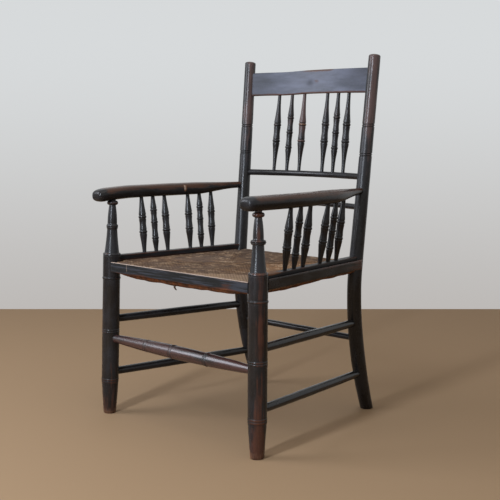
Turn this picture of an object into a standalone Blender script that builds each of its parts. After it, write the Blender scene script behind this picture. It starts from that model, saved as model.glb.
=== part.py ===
"""Armchair of turned, dark stained wood with a rush seat.

Metres, +Z up. The front of the chair faces -Y. The origin is on the floor, under the middle of
the chair's bounding box. Turned legs, posts, stretchers and spindles stand in round mortises.
"""
import math

import bmesh
import bpy
from mathutils import Matrix, Vector

# Clearance between a tenon and its mortise, or between two pieces that rest on each other
CLEARANCE = 0.0003

# Front legs: the place of the axis at the floor and at the arm
LEG_FOOT_X = 0.251
LEG_FOOT_Y = -0.015
LEG_TOP_X = 0.2435
LEG_TOP_Y = -0.003
LEG_TOP_Z = 0.541

# Turned profile of a front leg
FOOT_RADIUS = 0.0155
LEG_RADIUS = 0.0213
BLOCK_RADIUS = 0.0216
FLARE_RADIUS = 0.0181
WAIST_RADIUS = 0.0127
WAIST_POWER = 1.3
NECK_RADIUS = 0.0080
KNOB_RADIUS = 0.0136
BEAD_RADIUS = 0.0164
LOW_RING_Z = 0.082
LEG_RING_Z = 0.206
BLOCK_RING_Z = 0.337
SHOULDER_Z = 0.399
ARM_RING_Z = 0.463
KNOB_Z = 0.5212
KNOB_HALF = 0.0055
RING_RISE = 0.0008
RING_HALF = 0.0030
SHOULDER_EDGE = 0.0015
LEG_TENON_COVER = 0.012

# Back posts: a straight raked upper part and a foot that sweeps back
POST_HEIGHT = 0.880
POST_FOOT_X = 0.187
POST_TOP_X = 0.2075
POST_BEND_Z = 0.360
POST_BEND_Y = 0.3936
POST_RAKE = 0.102
POST_SWEEP = 0.100
POST_SWEEP_POWER = 1.72
POST_TOP_RADIUS = 0.0145
POST_ARM_RADIUS = 0.0162
POST_SEAT_RADIUS = 0.0173
POST_LOW_RADIUS = 0.0180
POST_FOOT_RADIUS = 0.0158
POST_GROOVE_Z = (0.638, 0.709)
POST_GROOVE_DEPTH = 0.0010
POST_GROOVE_HALF = 0.0020
POST_DOME = 0.005

# Crest rail
CREST_DROP = 0.0926
CREST_LOW_Z = POST_HEIGHT - CREST_DROP
CREST_HEIGHT = 0.0612
CREST_THICKNESS = 0.015
CREST_BOW = 0.040
CREST_ARCH = 0.004
CREST_EDGE = 0.003

# The two bowed rods of the back
ROD_BOW = 0.038
UPPER_ROD_Z = 0.584
UPPER_ROD_RADIUS = 0.0079
LOWER_ROD_Z = 0.510
LOWER_ROD_RADIUS = 0.0072

# Spindles
OUTER_SPINDLE_RADIUS = 0.0098
MIDDLE_SPINDLE_RADIUS = 0.0086
BACK_SPINDLE_END_RADIUS = 0.0048
BACK_SPINDLE_TAPER = 2.0
ARM_SPINDLE_END_RADIUS = 0.0051
ARM_SPINDLE_TAPER = 1.3
ARM_SPINDLE_OUTSET = 0.0015
SPINDLE_WAIST_DEPTH = 0.0014
SPINDLE_RING_HALF = 0.0070
SPINDLE_TENON = 0.007
BACK_SPINDLE_PITCH = 0.0388
OUTER_RINGS_BACK = (0.386, 0.600)
MIDDLE_RINGS_BACK = (0.300, 0.497, 0.690)
OUTER_RINGS_ARM = (0.37, 0.64)
MIDDLE_RINGS_ARM = (0.24, 0.53, 0.75)
ARM_SPINDLE_GROUPS_LOW = (0.0895, 0.2305)
ARM_SPINDLE_PITCH_LOW = 0.0353
ARM_SPINDLE_GROUPS_HIGH = (0.0930, 0.2380)
ARM_SPINDLE_PITCH_HIGH = 0.0360

# Arms
ARM_TIP_Y = -0.051
ARM_FRONT_X = 0.2485
ARM_BEND_Y = 0.080
ARM_BEND_POWER = 1.65
ARM_TOP_Z = 0.5615
ARM_THICKNESS = 0.0320
ARM_BOTTOM_Z = ARM_TOP_Z - ARM_THICKNESS
ARM_HALF_WIDTH = 0.0220
ARM_REAR_DROP = 0.0112
ARM_REAR_Z = ARM_TOP_Z - ARM_REAR_DROP
ARM_REAR_RADIUS = 0.0085
ARM_TAPER_Y = 0.250
ARM_NOSE = 0.024
ARM_NOSE_POWER = 2.6
ARM_NOSE_TIP_WIDTH = 0.45
ARM_NOSE_TIP_HEIGHT = 0.30
ARM_SQUARENESS = 0.72

# Seat
SEAT_RAIL_Z = 0.3665
SEAT_RAIL_RADIUS = 0.0090
SEAT_TENON_RADIUS = 0.0070
SEAT_TENON_LENGTH = 0.014
SEAT_TENON_SLOPE = 0.004
RUSH_ABOVE = 0.0125
RUSH_BELOW_FRONT = 0.0205
RUSH_BELOW_BACK = 0.0120
RUSH_FRONT_SAG = 0.0050
RUSH_OUTSET = 0.0140
RUSH_SAG = 0.0080
RUSH_CORNER_LIFT = 0.0075
RUSH_CORNER_REACH = 0.090
RUSH_LEG_GAP = 0.0010
RUSH_EDGE_POWER = 2.2
RUSH_EDGE_SHARE = 0.45
RUSH_SAG_START = 0.020
RUSH_SAG_END = 0.120
RUSH_EDGE_STEPS = (0.0, 0.0025, 0.0075, 0.020)
RUSH_GRID = 12
RUSH_NOTCH_HALF = 0.060
STRIP_THICKNESS = 0.005
STRIP_EDGE = 0.0012
FRONT_STRIP_HEIGHT = 0.024
SIDE_STRIP_HEIGHT = 0.023
SIDE_STRIP_ABOVE_RUSH = 0.0055
SPINDLE_RAIL_HEIGHT = 0.013
SPINDLE_RAIL_HALF_WIDTH = 0.0100
SPINDLE_RAIL_EDGE = 0.0015

# Stretchers
FRONT_STRETCHER_Z = 0.188
FRONT_STRETCHER_RADIUS = 0.0160
FRONT_STRETCHER_END_RADIUS = 0.0100
FRONT_STRETCHER_TENON = 0.020
FRONT_STRETCHER_RINGS = (0.255, 0.462, 0.722)
STRETCHER_RING_RISE = 0.0010
STRETCHER_RING_HALF = 0.0035
SIDE_UPPER_FRONT_Z = 0.2345
SIDE_UPPER_BACK_Z = 0.2270
SIDE_LOWER_FRONT_Z = 0.1025
SIDE_LOWER_BACK_Z = 0.0965
SIDE_STRETCHER_RADIUS = 0.0104
SIDE_STRETCHER_END_RADIUS = 0.0093
BACK_STRETCHER_Z = 0.187
BACK_STRETCHER_RADIUS = 0.0082
BACK_STRETCHER_END_RADIUS = 0.0075

# Tenons stop this far from the axis of the leg or post they stand in
TENON_STOP = 0.0098

# The shapes that cut mortises and feet run this far past the surface that they cut
MORTISE_REACH = 0.030
SPINDLE_MORTISE_SPARE = 0.006
FOOT_OVERRUN = 0.005
FLOOR_CUT_DEPTH = 0.020
FLOOR_CUT_WIDTH = 0.100

# Facets around the turned pieces
LEG_SIDES = 14
BAR_SIDES = 12
SPINDLE_SIDES = 8
HOLE_SIDES = 8
POST_RESOLUTION = 4
ROD_RESOLUTION = 3
ARM_SIDES = 14

# Colours and roughness of the finishes
BLACK_WOOD = ((0.020, 0.018, 0.019), 0.42)
BROWN_WOOD = ((0.055, 0.030, 0.020), 0.45)
BARE_WOOD = ((0.200, 0.130, 0.080), 0.70)
RUSH = ((0.190, 0.120, 0.060), 0.85)

parts = bpy.data.collections.new("rush_seat_armchair")
cutters = bpy.data.collections.new("cutters")
holes = {}


def clear_scene():
    """Empty the scene and link the two collections."""
    for item in list(bpy.data.objects):
        bpy.data.objects.remove(item, do_unlink=True)
    bpy.context.scene.collection.children.link(parts)
    bpy.context.scene.collection.children.link(cutters)


def finish(name, look):
    """A Principled material of one colour and roughness."""
    colour, roughness = look
    material = bpy.data.materials.new(name + "_finish")
    material.use_nodes = True
    shader = material.node_tree.nodes["Principled BSDF"]
    shader.inputs["Base Color"].default_value = (*colour, 1.0)
    shader.inputs["Roughness"].default_value = roughness
    shader.inputs["Metallic"].default_value = 0.0
    return material


def add_part(name, mesh, look):
    """Put a mesh in the chair's collection as one named piece."""
    part = bpy.data.objects.new(name, mesh)
    part.data.materials.append(finish(name, look))
    parts.objects.link(part)
    return part


# Places on the frame


def mix(a, b, t):
    return a + (b - a) * t


def post_y(z):
    """Depth of a back post's axis at a height, before the move to the origin."""
    y = POST_BEND_Y + POST_RAKE * (z - POST_BEND_Z)
    if z < POST_BEND_Z:
        y += POST_SWEEP * ((POST_BEND_Z - z) / POST_BEND_Z) ** POST_SWEEP_POWER
    return y


CREST_BACK_Y = post_y(CREST_LOW_Z + CREST_HEIGHT) + CREST_BOW + CREST_THICKNESS / 2
MIDDLE_Y = (ARM_TIP_Y + CREST_BACK_Y) / 2


def leg_axis(side, z):
    """A point on a front leg's axis."""
    t = z / LEG_TOP_Z
    x = mix(LEG_FOOT_X, LEG_TOP_X, t)
    y = mix(LEG_FOOT_Y, LEG_TOP_Y, t)
    return Vector((side * x, y - MIDDLE_Y, z))


def post_axis(side, z):
    """A point on a back post's axis."""
    x = mix(POST_FOOT_X, POST_TOP_X, z / POST_HEIGHT)
    return Vector((side * x, post_y(z) - MIDDLE_Y, z))


def back_point(x, z, bow):
    """A point on a bowed rail of the back."""
    end = post_axis(1, z)
    return Vector((x, end.y + bow * (1 - (x / end.x) ** 2), z))


def post_radius(z):
    """Radius of a back post at a height."""
    stations = (
        (0.0, POST_FOOT_RADIUS),
        (0.12, POST_LOW_RADIUS),
        (BACK_STRETCHER_Z, POST_LOW_RADIUS),
        (SEAT_RAIL_Z, POST_SEAT_RADIUS),
        (ARM_REAR_Z, POST_ARM_RADIUS),
        (POST_HEIGHT, POST_TOP_RADIUS),
    )
    for (z0, r0), (z1, r1) in zip(stations, stations[1:]):
        if z <= z1:
            return mix(r0, r1, max(0.0, (z - z0) / (z1 - z0)))
    return POST_TOP_RADIUS


# Turned pieces and tubes


def turned(name, profile, base, tip, look, sides):
    """Turn a profile of (distance from the base, radius) about the line from base to tip."""
    outline = [(0.0, profile[-1][0])]
    outline += [(radius, along) for along, radius in reversed(profile)]
    outline.append((0.0, profile[0][0]))
    mesh = bpy.data.meshes.new(name)
    edges = [(i, i + 1) for i in range(len(outline) - 1)]
    mesh.from_pydata([(r, 0.0, z) for r, z in outline], edges, [])
    part = add_part(name, mesh, look)
    turn = (tip - base).to_track_quat("Z", "Y").to_matrix().to_4x4()
    part.matrix_world = Matrix.Translation(base) @ turn
    screw = part.modifiers.new("turn", "SCREW")
    screw.axis = "Z"
    screw.angle = math.tau
    screw.steps = sides
    screw.render_steps = sides
    screw.use_smooth_shade = True
    screw.use_merge_vertices = True
    screw.merge_threshold = 0.00001
    return part


def tube(name, points, radii, look, resolution):
    """A curve of varying thickness with closed ends, made a mesh so that it can be cut."""
    curve = bpy.data.curves.new(name, "CURVE")
    curve.dimensions = "3D"
    curve.bevel_depth = 1.0
    curve.bevel_resolution = resolution
    curve.use_fill_caps = True
    spline = curve.splines.new("POLY")
    spline.points.add(len(points) - 1)
    for point, place, radius in zip(spline.points, points, radii):
        point.co = (*place, 1.0)
        point.radius = radius
    guide = bpy.data.objects.new(name + "_guide", curve)
    cutters.objects.link(guide)
    bpy.context.view_layer.update()
    evaluated = guide.evaluated_get(bpy.context.evaluated_depsgraph_get())
    mesh = bpy.data.meshes.new_from_object(evaluated)
    bpy.data.objects.remove(guide, do_unlink=True)
    weld(mesh)
    mesh.name = name
    mesh.shade_smooth()
    mesh.set_sharp_from_angle(angle=math.radians(50))
    return add_part(name, mesh, look)


def weld(mesh):
    """Join the loose caps of a tube to its wall."""
    shape = bmesh.new()
    shape.from_mesh(mesh)
    bmesh.ops.remove_doubles(shape, verts=shape.verts, dist=0.00001)
    bmesh.ops.recalc_face_normals(shape, faces=shape.faces)
    shape.to_mesh(mesh)
    shape.free()


# Mortises


def bore(host, inner, outer, radius, group="mortises"):
    """Note a round hole in a host. Holes of one group are cut together and don't meet."""
    holes.setdefault((host, group), []).append(("round", inner, outer, radius + CLEARANCE))


def slot(host, place, size):
    """Note a rectangular mortise in a host."""
    holes.setdefault((host, "mortises"), []).append(("box", place, size, 0.0))


def add_round_cutter(shape, inner, outer, radius):
    """A cylinder whose flats clear the radius."""
    middle = (inner + outer) / 2
    turn = (outer - inner).to_track_quat("Z", "Y").to_matrix().to_4x4()
    wide = radius / math.cos(math.pi / HOLE_SIDES)
    bmesh.ops.create_cone(
        shape,
        cap_ends=True,
        segments=HOLE_SIDES,
        radius1=wide,
        radius2=wide,
        depth=(outer - inner).length,
        matrix=Matrix.Translation(middle) @ turn,
    )


def cut_holes():
    """Cut every host with one cutter for each group of its holes."""
    for (host, group), cuts in holes.items():
        shape = bmesh.new()
        for kind, first, second, radius in cuts:
            if kind == "round":
                add_round_cutter(shape, first, second, radius)
            else:
                scale = Matrix.Diagonal((*second, 1.0))
                bmesh.ops.create_cube(shape, size=1.0, matrix=first @ scale)
        cutter_name = host + "_" + group
        mesh = bpy.data.meshes.new(cutter_name)
        shape.to_mesh(mesh)
        shape.free()
        cutter = bpy.data.objects.new(cutter_name, mesh)
        cutter.hide_render = True
        cutter.display_type = "WIRE"
        cutters.objects.link(cutter)
        cut = bpy.data.objects[host].modifiers.new(group, "BOOLEAN")
        cut.operation = "DIFFERENCE"
        cut.solver = "EXACT"
        cut.object = cutter


def floor_cut(host, foot):
    """Cut a foot flat at the floor."""
    place = Matrix.Translation((foot.x, foot.y, -FLOOR_CUT_DEPTH / 2))
    slot(host, place, (FLOOR_CUT_WIDTH, FLOOR_CUT_WIDTH, FLOOR_CUT_DEPTH))


# Legs and posts


def ring(z, radius, rise, half):
    """A raised ring between two fine grooves."""
    return [(z - half, radius - rise / 2), (z, radius + rise), (z + half, radius - rise / 2)]


def leg_profile():
    """Turned outline of a front leg, from below the floor up to the tenon in the arm."""
    profile = [(-FOOT_OVERRUN, FOOT_RADIUS), (0.0, FOOT_RADIUS)]
    profile += [(LOW_RING_Z * 0.62, mix(FOOT_RADIUS, LEG_RADIUS, 0.62))]
    profile += ring(LOW_RING_Z - RING_HALF, LEG_RADIUS * 0.97, RING_RISE, RING_HALF)
    profile += ring(LOW_RING_Z + RING_HALF, LEG_RADIUS * 0.98, RING_RISE, RING_HALF)[1:]
    profile += ring(LEG_RING_Z, LEG_RADIUS, RING_RISE, RING_HALF)
    profile += ring(BLOCK_RING_Z, BLOCK_RADIUS, RING_RISE * 1.6, RING_HALF)
    profile.append((SHOULDER_Z - 2 * SHOULDER_EDGE, BLOCK_RADIUS))
    profile.append((SHOULDER_Z - SHOULDER_EDGE / 2, BLOCK_RADIUS - SHOULDER_EDGE))
    profile.append((SHOULDER_Z, FLARE_RADIUS))
    low = ARM_RING_Z - 2 * RING_HALF
    for t in (0.25, 0.55, 1.0):
        radius = WAIST_RADIUS + (FLARE_RADIUS - WAIST_RADIUS) * (1 - t) ** WAIST_POWER
        profile.append((mix(SHOULDER_Z, low, t), radius))
    profile.append((ARM_RING_Z - RING_HALF, BEAD_RADIUS))
    profile.append((ARM_RING_Z, BEAD_RADIUS - RING_RISE))
    profile.append((ARM_RING_Z + RING_HALF, BEAD_RADIUS))
    high = ARM_RING_Z + 2 * RING_HALF
    for t in (0.0, 0.4, 0.75, 1.0):
        radius = NECK_RADIUS + (WAIST_RADIUS * 0.94 - NECK_RADIUS) * (1 - t * t)
        profile.append((mix(high, KNOB_Z - KNOB_HALF, t), radius))
    profile += [(KNOB_Z - KNOB_HALF / 2, KNOB_RADIUS * 0.93), (KNOB_Z, KNOB_RADIUS)]
    profile += [(KNOB_Z + KNOB_HALF / 2, KNOB_RADIUS * 0.93), (KNOB_Z + KNOB_HALF, NECK_RADIUS)]
    profile.append((ARM_TOP_Z - LEG_TENON_COVER, NECK_RADIUS))
    return profile


def front_leg(side, name):
    """One turned front leg that carries the arm on its top tenon."""
    foot = leg_axis(side, 0.0)
    turned(name, leg_profile(), foot, leg_axis(side, LEG_TOP_Z), BLACK_WOOD, LEG_SIDES)
    floor_cut(name, foot)


def back_post(side, name):
    """One back post, from the swept foot to the rounded top."""
    shoulder = POST_HEIGHT - POST_DOME
    count = 10
    heights = [-FOOT_OVERRUN, 0.0]
    heights += [POST_BEND_Z * (i + 0.5) / count for i in range(count)]
    heights += [SHOULDER_Z, (SHOULDER_Z + ARM_REAR_Z) / 2, ARM_REAR_Z]
    for z in POST_GROOVE_Z:
        heights += [z - POST_GROOVE_HALF, z, z + POST_GROOVE_HALF]
    heights += [(POST_GROOVE_Z[-1] + shoulder) / 2, shoulder]
    points = [post_axis(side, z) for z in heights]
    radii = [post_radius(z) for z in heights]
    for i, z in enumerate(heights):
        if z in POST_GROOVE_Z:
            radii[i] -= POST_GROOVE_DEPTH
    for rise, share in ((0.6, 0.86), (1.0, 0.52)):
        points.append(post_axis(side, shoulder + rise * POST_DOME))
        radii.append(POST_TOP_RADIUS * share)
    tube(name, points, radii, BLACK_WOOD, POST_RESOLUTION)
    floor_cut(name, post_axis(side, 0.0))


# Bars between the legs


def bar_ends(first, second, stop=TENON_STOP):
    """Where a bar's tenons end, a little short of the two axes that it joins."""
    along = (second - first).normalized()
    return first + along * stop, second - along * stop


def bar_mortises(first_host, second_host, start, end, radius, reach=MORTISE_REACH):
    """Mortises in both hosts for a bar that runs from start to end."""
    along = (end - start).normalized()
    bore(first_host, start - along * CLEARANCE, start + along * reach, radius)
    bore(second_host, end + along * CLEARANCE, end - along * reach, radius)


def plain_profile(length, end_radius, radius):
    """A slightly swelling bar."""
    shares = (0.0, 0.08, 0.25, 0.5, 0.75, 0.92, 1.0)
    profile = []
    for t in shares:
        swell = math.sin(math.pi * t) ** 0.7 if 0 < t < 1 else 0.0
        profile.append((length * t, mix(end_radius, radius, swell)))
    return profile


def bamboo_profile(length, tenon, end_radius, radius, rings, rise, ring_half):
    """A swelling bar with raised rings, like a length of bamboo."""
    span = length - 2 * tenon

    def body(t):
        return mix(end_radius, radius, math.sin(math.pi * min(max(t, 0.0), 1.0)) ** 0.8)

    profile = [(0.0, end_radius), (tenon, end_radius)]
    profile.append((tenon + span * rings[0] * 0.5, body(rings[0] * 0.5)))
    for i, share in enumerate(rings):
        profile += ring(tenon + span * share, body(share), rise, ring_half)
        if i + 1 < len(rings):
            waist = (share + rings[i + 1]) / 2
            profile.append((tenon + span * waist, body(waist) - rise))
    last = (1 + rings[-1]) / 2
    profile.append((tenon + span * last, body(last)))
    profile += [(length - tenon, end_radius), (length, end_radius)]
    return profile


def stretchers():
    """The front, side and back stretchers."""
    start, end = bar_ends(leg_axis(-1, FRONT_STRETCHER_Z), leg_axis(1, FRONT_STRETCHER_Z))
    profile = bamboo_profile(
        (end - start).length, FRONT_STRETCHER_TENON, FRONT_STRETCHER_END_RADIUS,
        FRONT_STRETCHER_RADIUS, FRONT_STRETCHER_RINGS, STRETCHER_RING_RISE, STRETCHER_RING_HALF)
    turned("front_stretcher", profile, start, end, BROWN_WOOD, BAR_SIDES)
    bar_mortises("front_leg_left", "front_leg_right", start, end, FRONT_STRETCHER_END_RADIUS)

    start, end = bar_ends(post_axis(-1, BACK_STRETCHER_Z), post_axis(1, BACK_STRETCHER_Z))
    profile = plain_profile((end - start).length, BACK_STRETCHER_END_RADIUS, BACK_STRETCHER_RADIUS)
    turned("back_stretcher", profile, start, end, BLACK_WOOD, BAR_SIDES)
    bar_mortises("back_post_left", "back_post_right", start, end, BACK_STRETCHER_END_RADIUS)

    levels = (
        ("upper", SIDE_UPPER_FRONT_Z, SIDE_UPPER_BACK_Z),
        ("lower", SIDE_LOWER_FRONT_Z, SIDE_LOWER_BACK_Z),
    )
    for side, word in ((-1, "left"), (1, "right")):
        for level, front_z, back_z in levels:
            start, end = bar_ends(leg_axis(side, front_z), post_axis(side, back_z))
            length = (end - start).length
            profile = plain_profile(length, SIDE_STRETCHER_END_RADIUS, SIDE_STRETCHER_RADIUS)
            name = "side_stretcher_" + level + "_" + word
            turned(name, profile, start, end, BLACK_WOOD, BAR_SIDES)
            bar_mortises("front_leg_" + word, "back_post_" + word, start, end,
                         SIDE_STRETCHER_END_RADIUS)


# Back


def rod(name, z, radius):
    """A bowed rod between the back posts."""
    half = post_axis(1, z).x
    count = 12
    reach = half - TENON_STOP
    xs = [mix(-reach, reach, i / count) for i in range(count + 1)]
    points = [back_point(x, z, ROD_BOW) for x in xs]
    tube(name, points, [radius] * len(points), BLACK_WOOD, ROD_RESOLUTION)
    for host, near, far in (("back_post_left", 0, 1), ("back_post_right", -1, -2)):
        along = (points[far] - points[near]).normalized()
        inner = points[near] - along * CLEARANCE
        bore(host, inner, points[near] + along * MORTISE_REACH, radius)


def crest_rail():
    """A flat board, bowed in plan and slightly arched, housed in the posts."""
    z = CREST_LOW_Z + CREST_HEIGHT / 2
    post = post_axis(1, z)
    half = post.x - TENON_STOP
    shape = bmesh.new()
    bmesh.ops.create_cube(shape, size=1.0)
    long_edges = [e for e in shape.edges if abs(e.verts[0].co.x - e.verts[1].co.x) > 0.5]
    bmesh.ops.subdivide_edges(shape, edges=long_edges, cuts=11)
    lean = POST_RAKE * CREST_HEIGHT
    for vert in shape.verts:
        x = vert.co.x * 2 * half
        curve = 1 - (x / post.x) ** 2
        slope = math.atan(2 * CREST_BOW * x / post.x ** 2)
        across = vert.co.y * CREST_THICKNESS
        middle = post.y + CREST_BOW * curve + lean * vert.co.z
        height = z + vert.co.z * CREST_HEIGHT + CREST_ARCH * curve
        vert.co = (x + across * math.sin(slope), middle + across * math.cos(slope), height)
    bmesh.ops.recalc_face_normals(shape, faces=shape.faces)
    mesh = bpy.data.meshes.new("crest_rail")
    shape.to_mesh(mesh)
    shape.free()
    part = add_part("crest_rail", mesh, BLACK_WOOD)
    bevel = part.modifiers.new("edges", "BEVEL")
    bevel.width = CREST_EDGE
    bevel.segments = 1
    bevel.limit_method = "ANGLE"
    bevel.angle_limit = math.radians(60)
    crest_housing(-1, "left")
    crest_housing(1, "right")


def crest_housing(side, word):
    """The slot in a back post that takes the end of the crest rail."""
    z = CREST_LOW_Z + CREST_HEIGHT / 2
    post = post_axis(side, z)
    x = post.x - side * TENON_STOP
    curve = 1 - (x / post.x) ** 2
    end = Vector((x, post.y + CREST_BOW * curve, z + CREST_ARCH * curve))
    fall = side * 2 * abs(x) / post.x ** 2
    along = side * Vector((1.0, -CREST_BOW * fall, -CREST_ARCH * fall)).normalized()
    across = Vector((-along.y, along.x, 0.0)).normalized()
    up = Vector((0.0, POST_RAKE, 1.0))
    turn = Matrix((along, across, up)).transposed().to_4x4()
    centre = end + along * (CLEARANCE - MORTISE_REACH / 2)
    size = (MORTISE_REACH, CREST_THICKNESS + 2 * CLEARANCE, CREST_HEIGHT + 2 * CLEARANCE)
    slot("back_post_" + word, Matrix.Translation(centre) @ turn, size)


def housing(host, end, other, width, height):
    """A slot in a leg or post that takes the end of a flat rail."""
    along = (end - other).normalized()
    turn = along.to_track_quat("X", "Z").to_matrix().to_4x4()
    centre = end + along * (CLEARANCE - MORTISE_REACH / 2)
    size = (MORTISE_REACH, width + 2 * CLEARANCE, height + 2 * CLEARANCE)
    slot(host, Matrix.Translation(centre) @ turn, size)


def taper(ring_end, thin_end, end_radius, radius, power):
    """A taper that is thin at its end and swells toward its ring."""
    shares = (0.0, 0.45, 0.75, 0.90)
    return [(mix(thin_end, ring_end, t), mix(end_radius, radius, t ** power)) for t in shares]


def spindle_profile(length, end_radius, radius, rings, power):
    """Thin tapered ends, and broad rings with a waist between each two."""
    span = length - 2 * SPINDLE_TENON
    places = [SPINDLE_TENON + span * share for share in rings]
    half = SPINDLE_RING_HALF
    waist = radius - SPINDLE_WAIST_DEPTH
    profile = [(0.0, end_radius)]
    profile += taper(places[0] - half, SPINDLE_TENON, end_radius, radius, power)
    for i, place in enumerate(places):
        if i > 0:
            profile.append(((place + places[i - 1]) / 2, waist))
        profile += [(place - half * 0.7, radius), (place + half * 0.7, radius)]
    top = taper(places[-1] + half, length - SPINDLE_TENON, end_radius, radius, power)
    profile += reversed(top)
    profile.append((length, end_radius))
    return profile


def spindle(name, low, high, hosts, shape):
    """One spindle, with a tenon at each end in the two pieces that it joins."""
    end_radius, radius, rings, power = shape
    along = (high - low).normalized()
    start = low - along * SPINDLE_TENON
    end = high + along * SPINDLE_TENON
    profile = spindle_profile((end - start).length, end_radius, radius, rings, power)
    turned(name, profile, start, end, BLACK_WOOD, SPINDLE_SIDES)
    bar_mortises(*hosts, start, end, end_radius, SPINDLE_TENON + SPINDLE_MORTISE_SPARE)


def back_spindles():
    """Two groups of three spindles between the upper rod and the crest rail."""
    places = (-3, -2, -1, 1, 2, 3)
    for number, place in enumerate(places, start=1):
        x = place * BACK_SPINDLE_PITCH
        low = back_point(x, UPPER_ROD_Z, ROD_BOW)
        low.z += UPPER_ROD_RADIUS
        crest = CREST_ARCH * (1 - (x / post_axis(1, CREST_LOW_Z).x) ** 2)
        high = back_point(x, CREST_LOW_Z, CREST_BOW)
        high.z += crest
        name = "back_spindle_%d" % number
        if abs(place) == 2:
            radius, rings = MIDDLE_SPINDLE_RADIUS, MIDDLE_RINGS_BACK
        else:
            radius, rings = OUTER_SPINDLE_RADIUS, OUTER_RINGS_BACK
        shape = (BACK_SPINDLE_END_RADIUS, radius, rings, BACK_SPINDLE_TAPER)
        spindle(name, low, high, ("back_rod_upper", "crest_rail"), shape)


# Arms


def arm_x(y):
    """Distance of an arm's middle line from the chair's middle plane."""
    rear = post_axis(1, ARM_REAR_Z).x
    rear_y = post_y(ARM_REAR_Z)
    t = max(0.0, (y - ARM_BEND_Y) / (rear_y - ARM_BEND_Y))
    return ARM_FRONT_X - (ARM_FRONT_X - rear) * t ** ARM_BEND_POWER


def arm_section(y):
    """Half width, bottom and top of an arm at a depth."""
    rear_y = post_y(ARM_REAR_Z) - POST_ARM_RADIUS
    t = min(1.0, max(0.0, (y - ARM_TAPER_Y) / (rear_y - ARM_TAPER_Y)))
    ease = t * t * (3 - 2 * t)
    half = mix(ARM_HALF_WIDTH, ARM_REAR_RADIUS, ease)
    bottom = mix(ARM_BOTTOM_Z, ARM_REAR_Z - ARM_REAR_RADIUS, ease)
    top = mix(ARM_TOP_Z, ARM_REAR_Z + ARM_REAR_RADIUS, ease)
    nose = min(1.0, max(0.0, (y - ARM_TIP_Y) / ARM_NOSE))
    grown = (1 - (1 - nose) ** ARM_NOSE_POWER) ** (1 / ARM_NOSE_POWER)
    middle = (bottom + top) / 2
    bottom = mix(middle, bottom, mix(ARM_NOSE_TIP_HEIGHT, 1.0, grown))
    top = mix(middle, top, mix(ARM_NOSE_TIP_HEIGHT, 1.0, grown))
    return half * mix(ARM_NOSE_TIP_WIDTH, 1.0, grown), bottom, top


def arm_stations():
    """Depths at which an arm's section is set, close together at its rounded nose."""
    nose = [ARM_TIP_Y + ARM_NOSE * t for t in (0.0, 0.06, 0.22, 0.5, 1.0)]
    rear_y = post_y(ARM_REAR_Z)
    body = [mix(nose[-1], ARM_TAPER_Y, t) for t in (0.2, 0.4, 0.6, 0.8, 1.0)]
    rear = rear_y - POST_ARM_RADIUS
    bend = [mix(ARM_TAPER_Y, rear, t) for t in (0.2, 0.4, 0.6, 0.8, 1.0)]
    return nose + body + bend + [rear_y - TENON_STOP]


def arm(side, word):
    """An arm: rounded section, straight in front, bent and tapered to a round tenon behind."""
    stations = arm_stations()
    shape = bmesh.new()
    bmesh.ops.create_cone(
        shape, cap_ends=True, segments=ARM_SIDES, radius1=1, radius2=1, depth=1)
    upright = [e for e in shape.edges if abs(e.verts[0].co.z - e.verts[1].co.z) > 0.5]
    bmesh.ops.subdivide_edges(shape, edges=upright, cuts=len(stations) - 2)
    for vert in shape.verts:
        index = round((vert.co.z + 0.5) * (len(stations) - 1))
        y = stations[index]
        half, bottom, top = arm_section(y)
        angle = math.atan2(vert.co.y, vert.co.x)
        round_share = min(1.0, max(0.0, (y - ARM_TAPER_Y) / (stations[-2] - ARM_TAPER_Y)))
        square = mix(ARM_SQUARENESS, 1.0, min(1.0, 1.5 * round_share))
        across = math.copysign(abs(math.cos(angle)) ** square, math.cos(angle))
        height = math.copysign(abs(math.sin(angle)) ** square, math.sin(angle))
        x = arm_x(y) + half * across
        z = (bottom + top) / 2 + (top - bottom) / 2 * height
        vert.co = (side * x, y - MIDDLE_Y, z)
    bmesh.ops.recalc_face_normals(shape, faces=shape.faces)
    name = "arm_" + word
    mesh = bpy.data.meshes.new(name)
    shape.to_mesh(mesh)
    shape.free()
    mesh.shade_smooth()
    mesh.set_sharp_from_angle(angle=math.radians(60))
    add_part(name, mesh, BROWN_WOOD)
    end = Vector((side * arm_x(stations[-1]), stations[-1] - MIDDLE_Y, ARM_REAR_Z))
    out = Vector((side * arm_x(stations[-2]), stations[-2] - MIDDLE_Y, ARM_REAR_Z))
    along = (end - out).normalized()
    skew = ARM_REAR_RADIUS * abs(along.x / along.y)
    inner = end + along * (CLEARANCE + skew)
    bore("back_post_" + word, inner, end - along * MORTISE_REACH, ARM_REAR_RADIUS)
    foot = leg_axis(side, 0.0)
    down = (foot - leg_axis(side, LEG_TOP_Z)).normalized()
    tenon = foot - down * (ARM_TOP_Z - LEG_TENON_COVER + CLEARANCE)
    bore(name, tenon, tenon + down * MORTISE_REACH, NECK_RADIUS)


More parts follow.
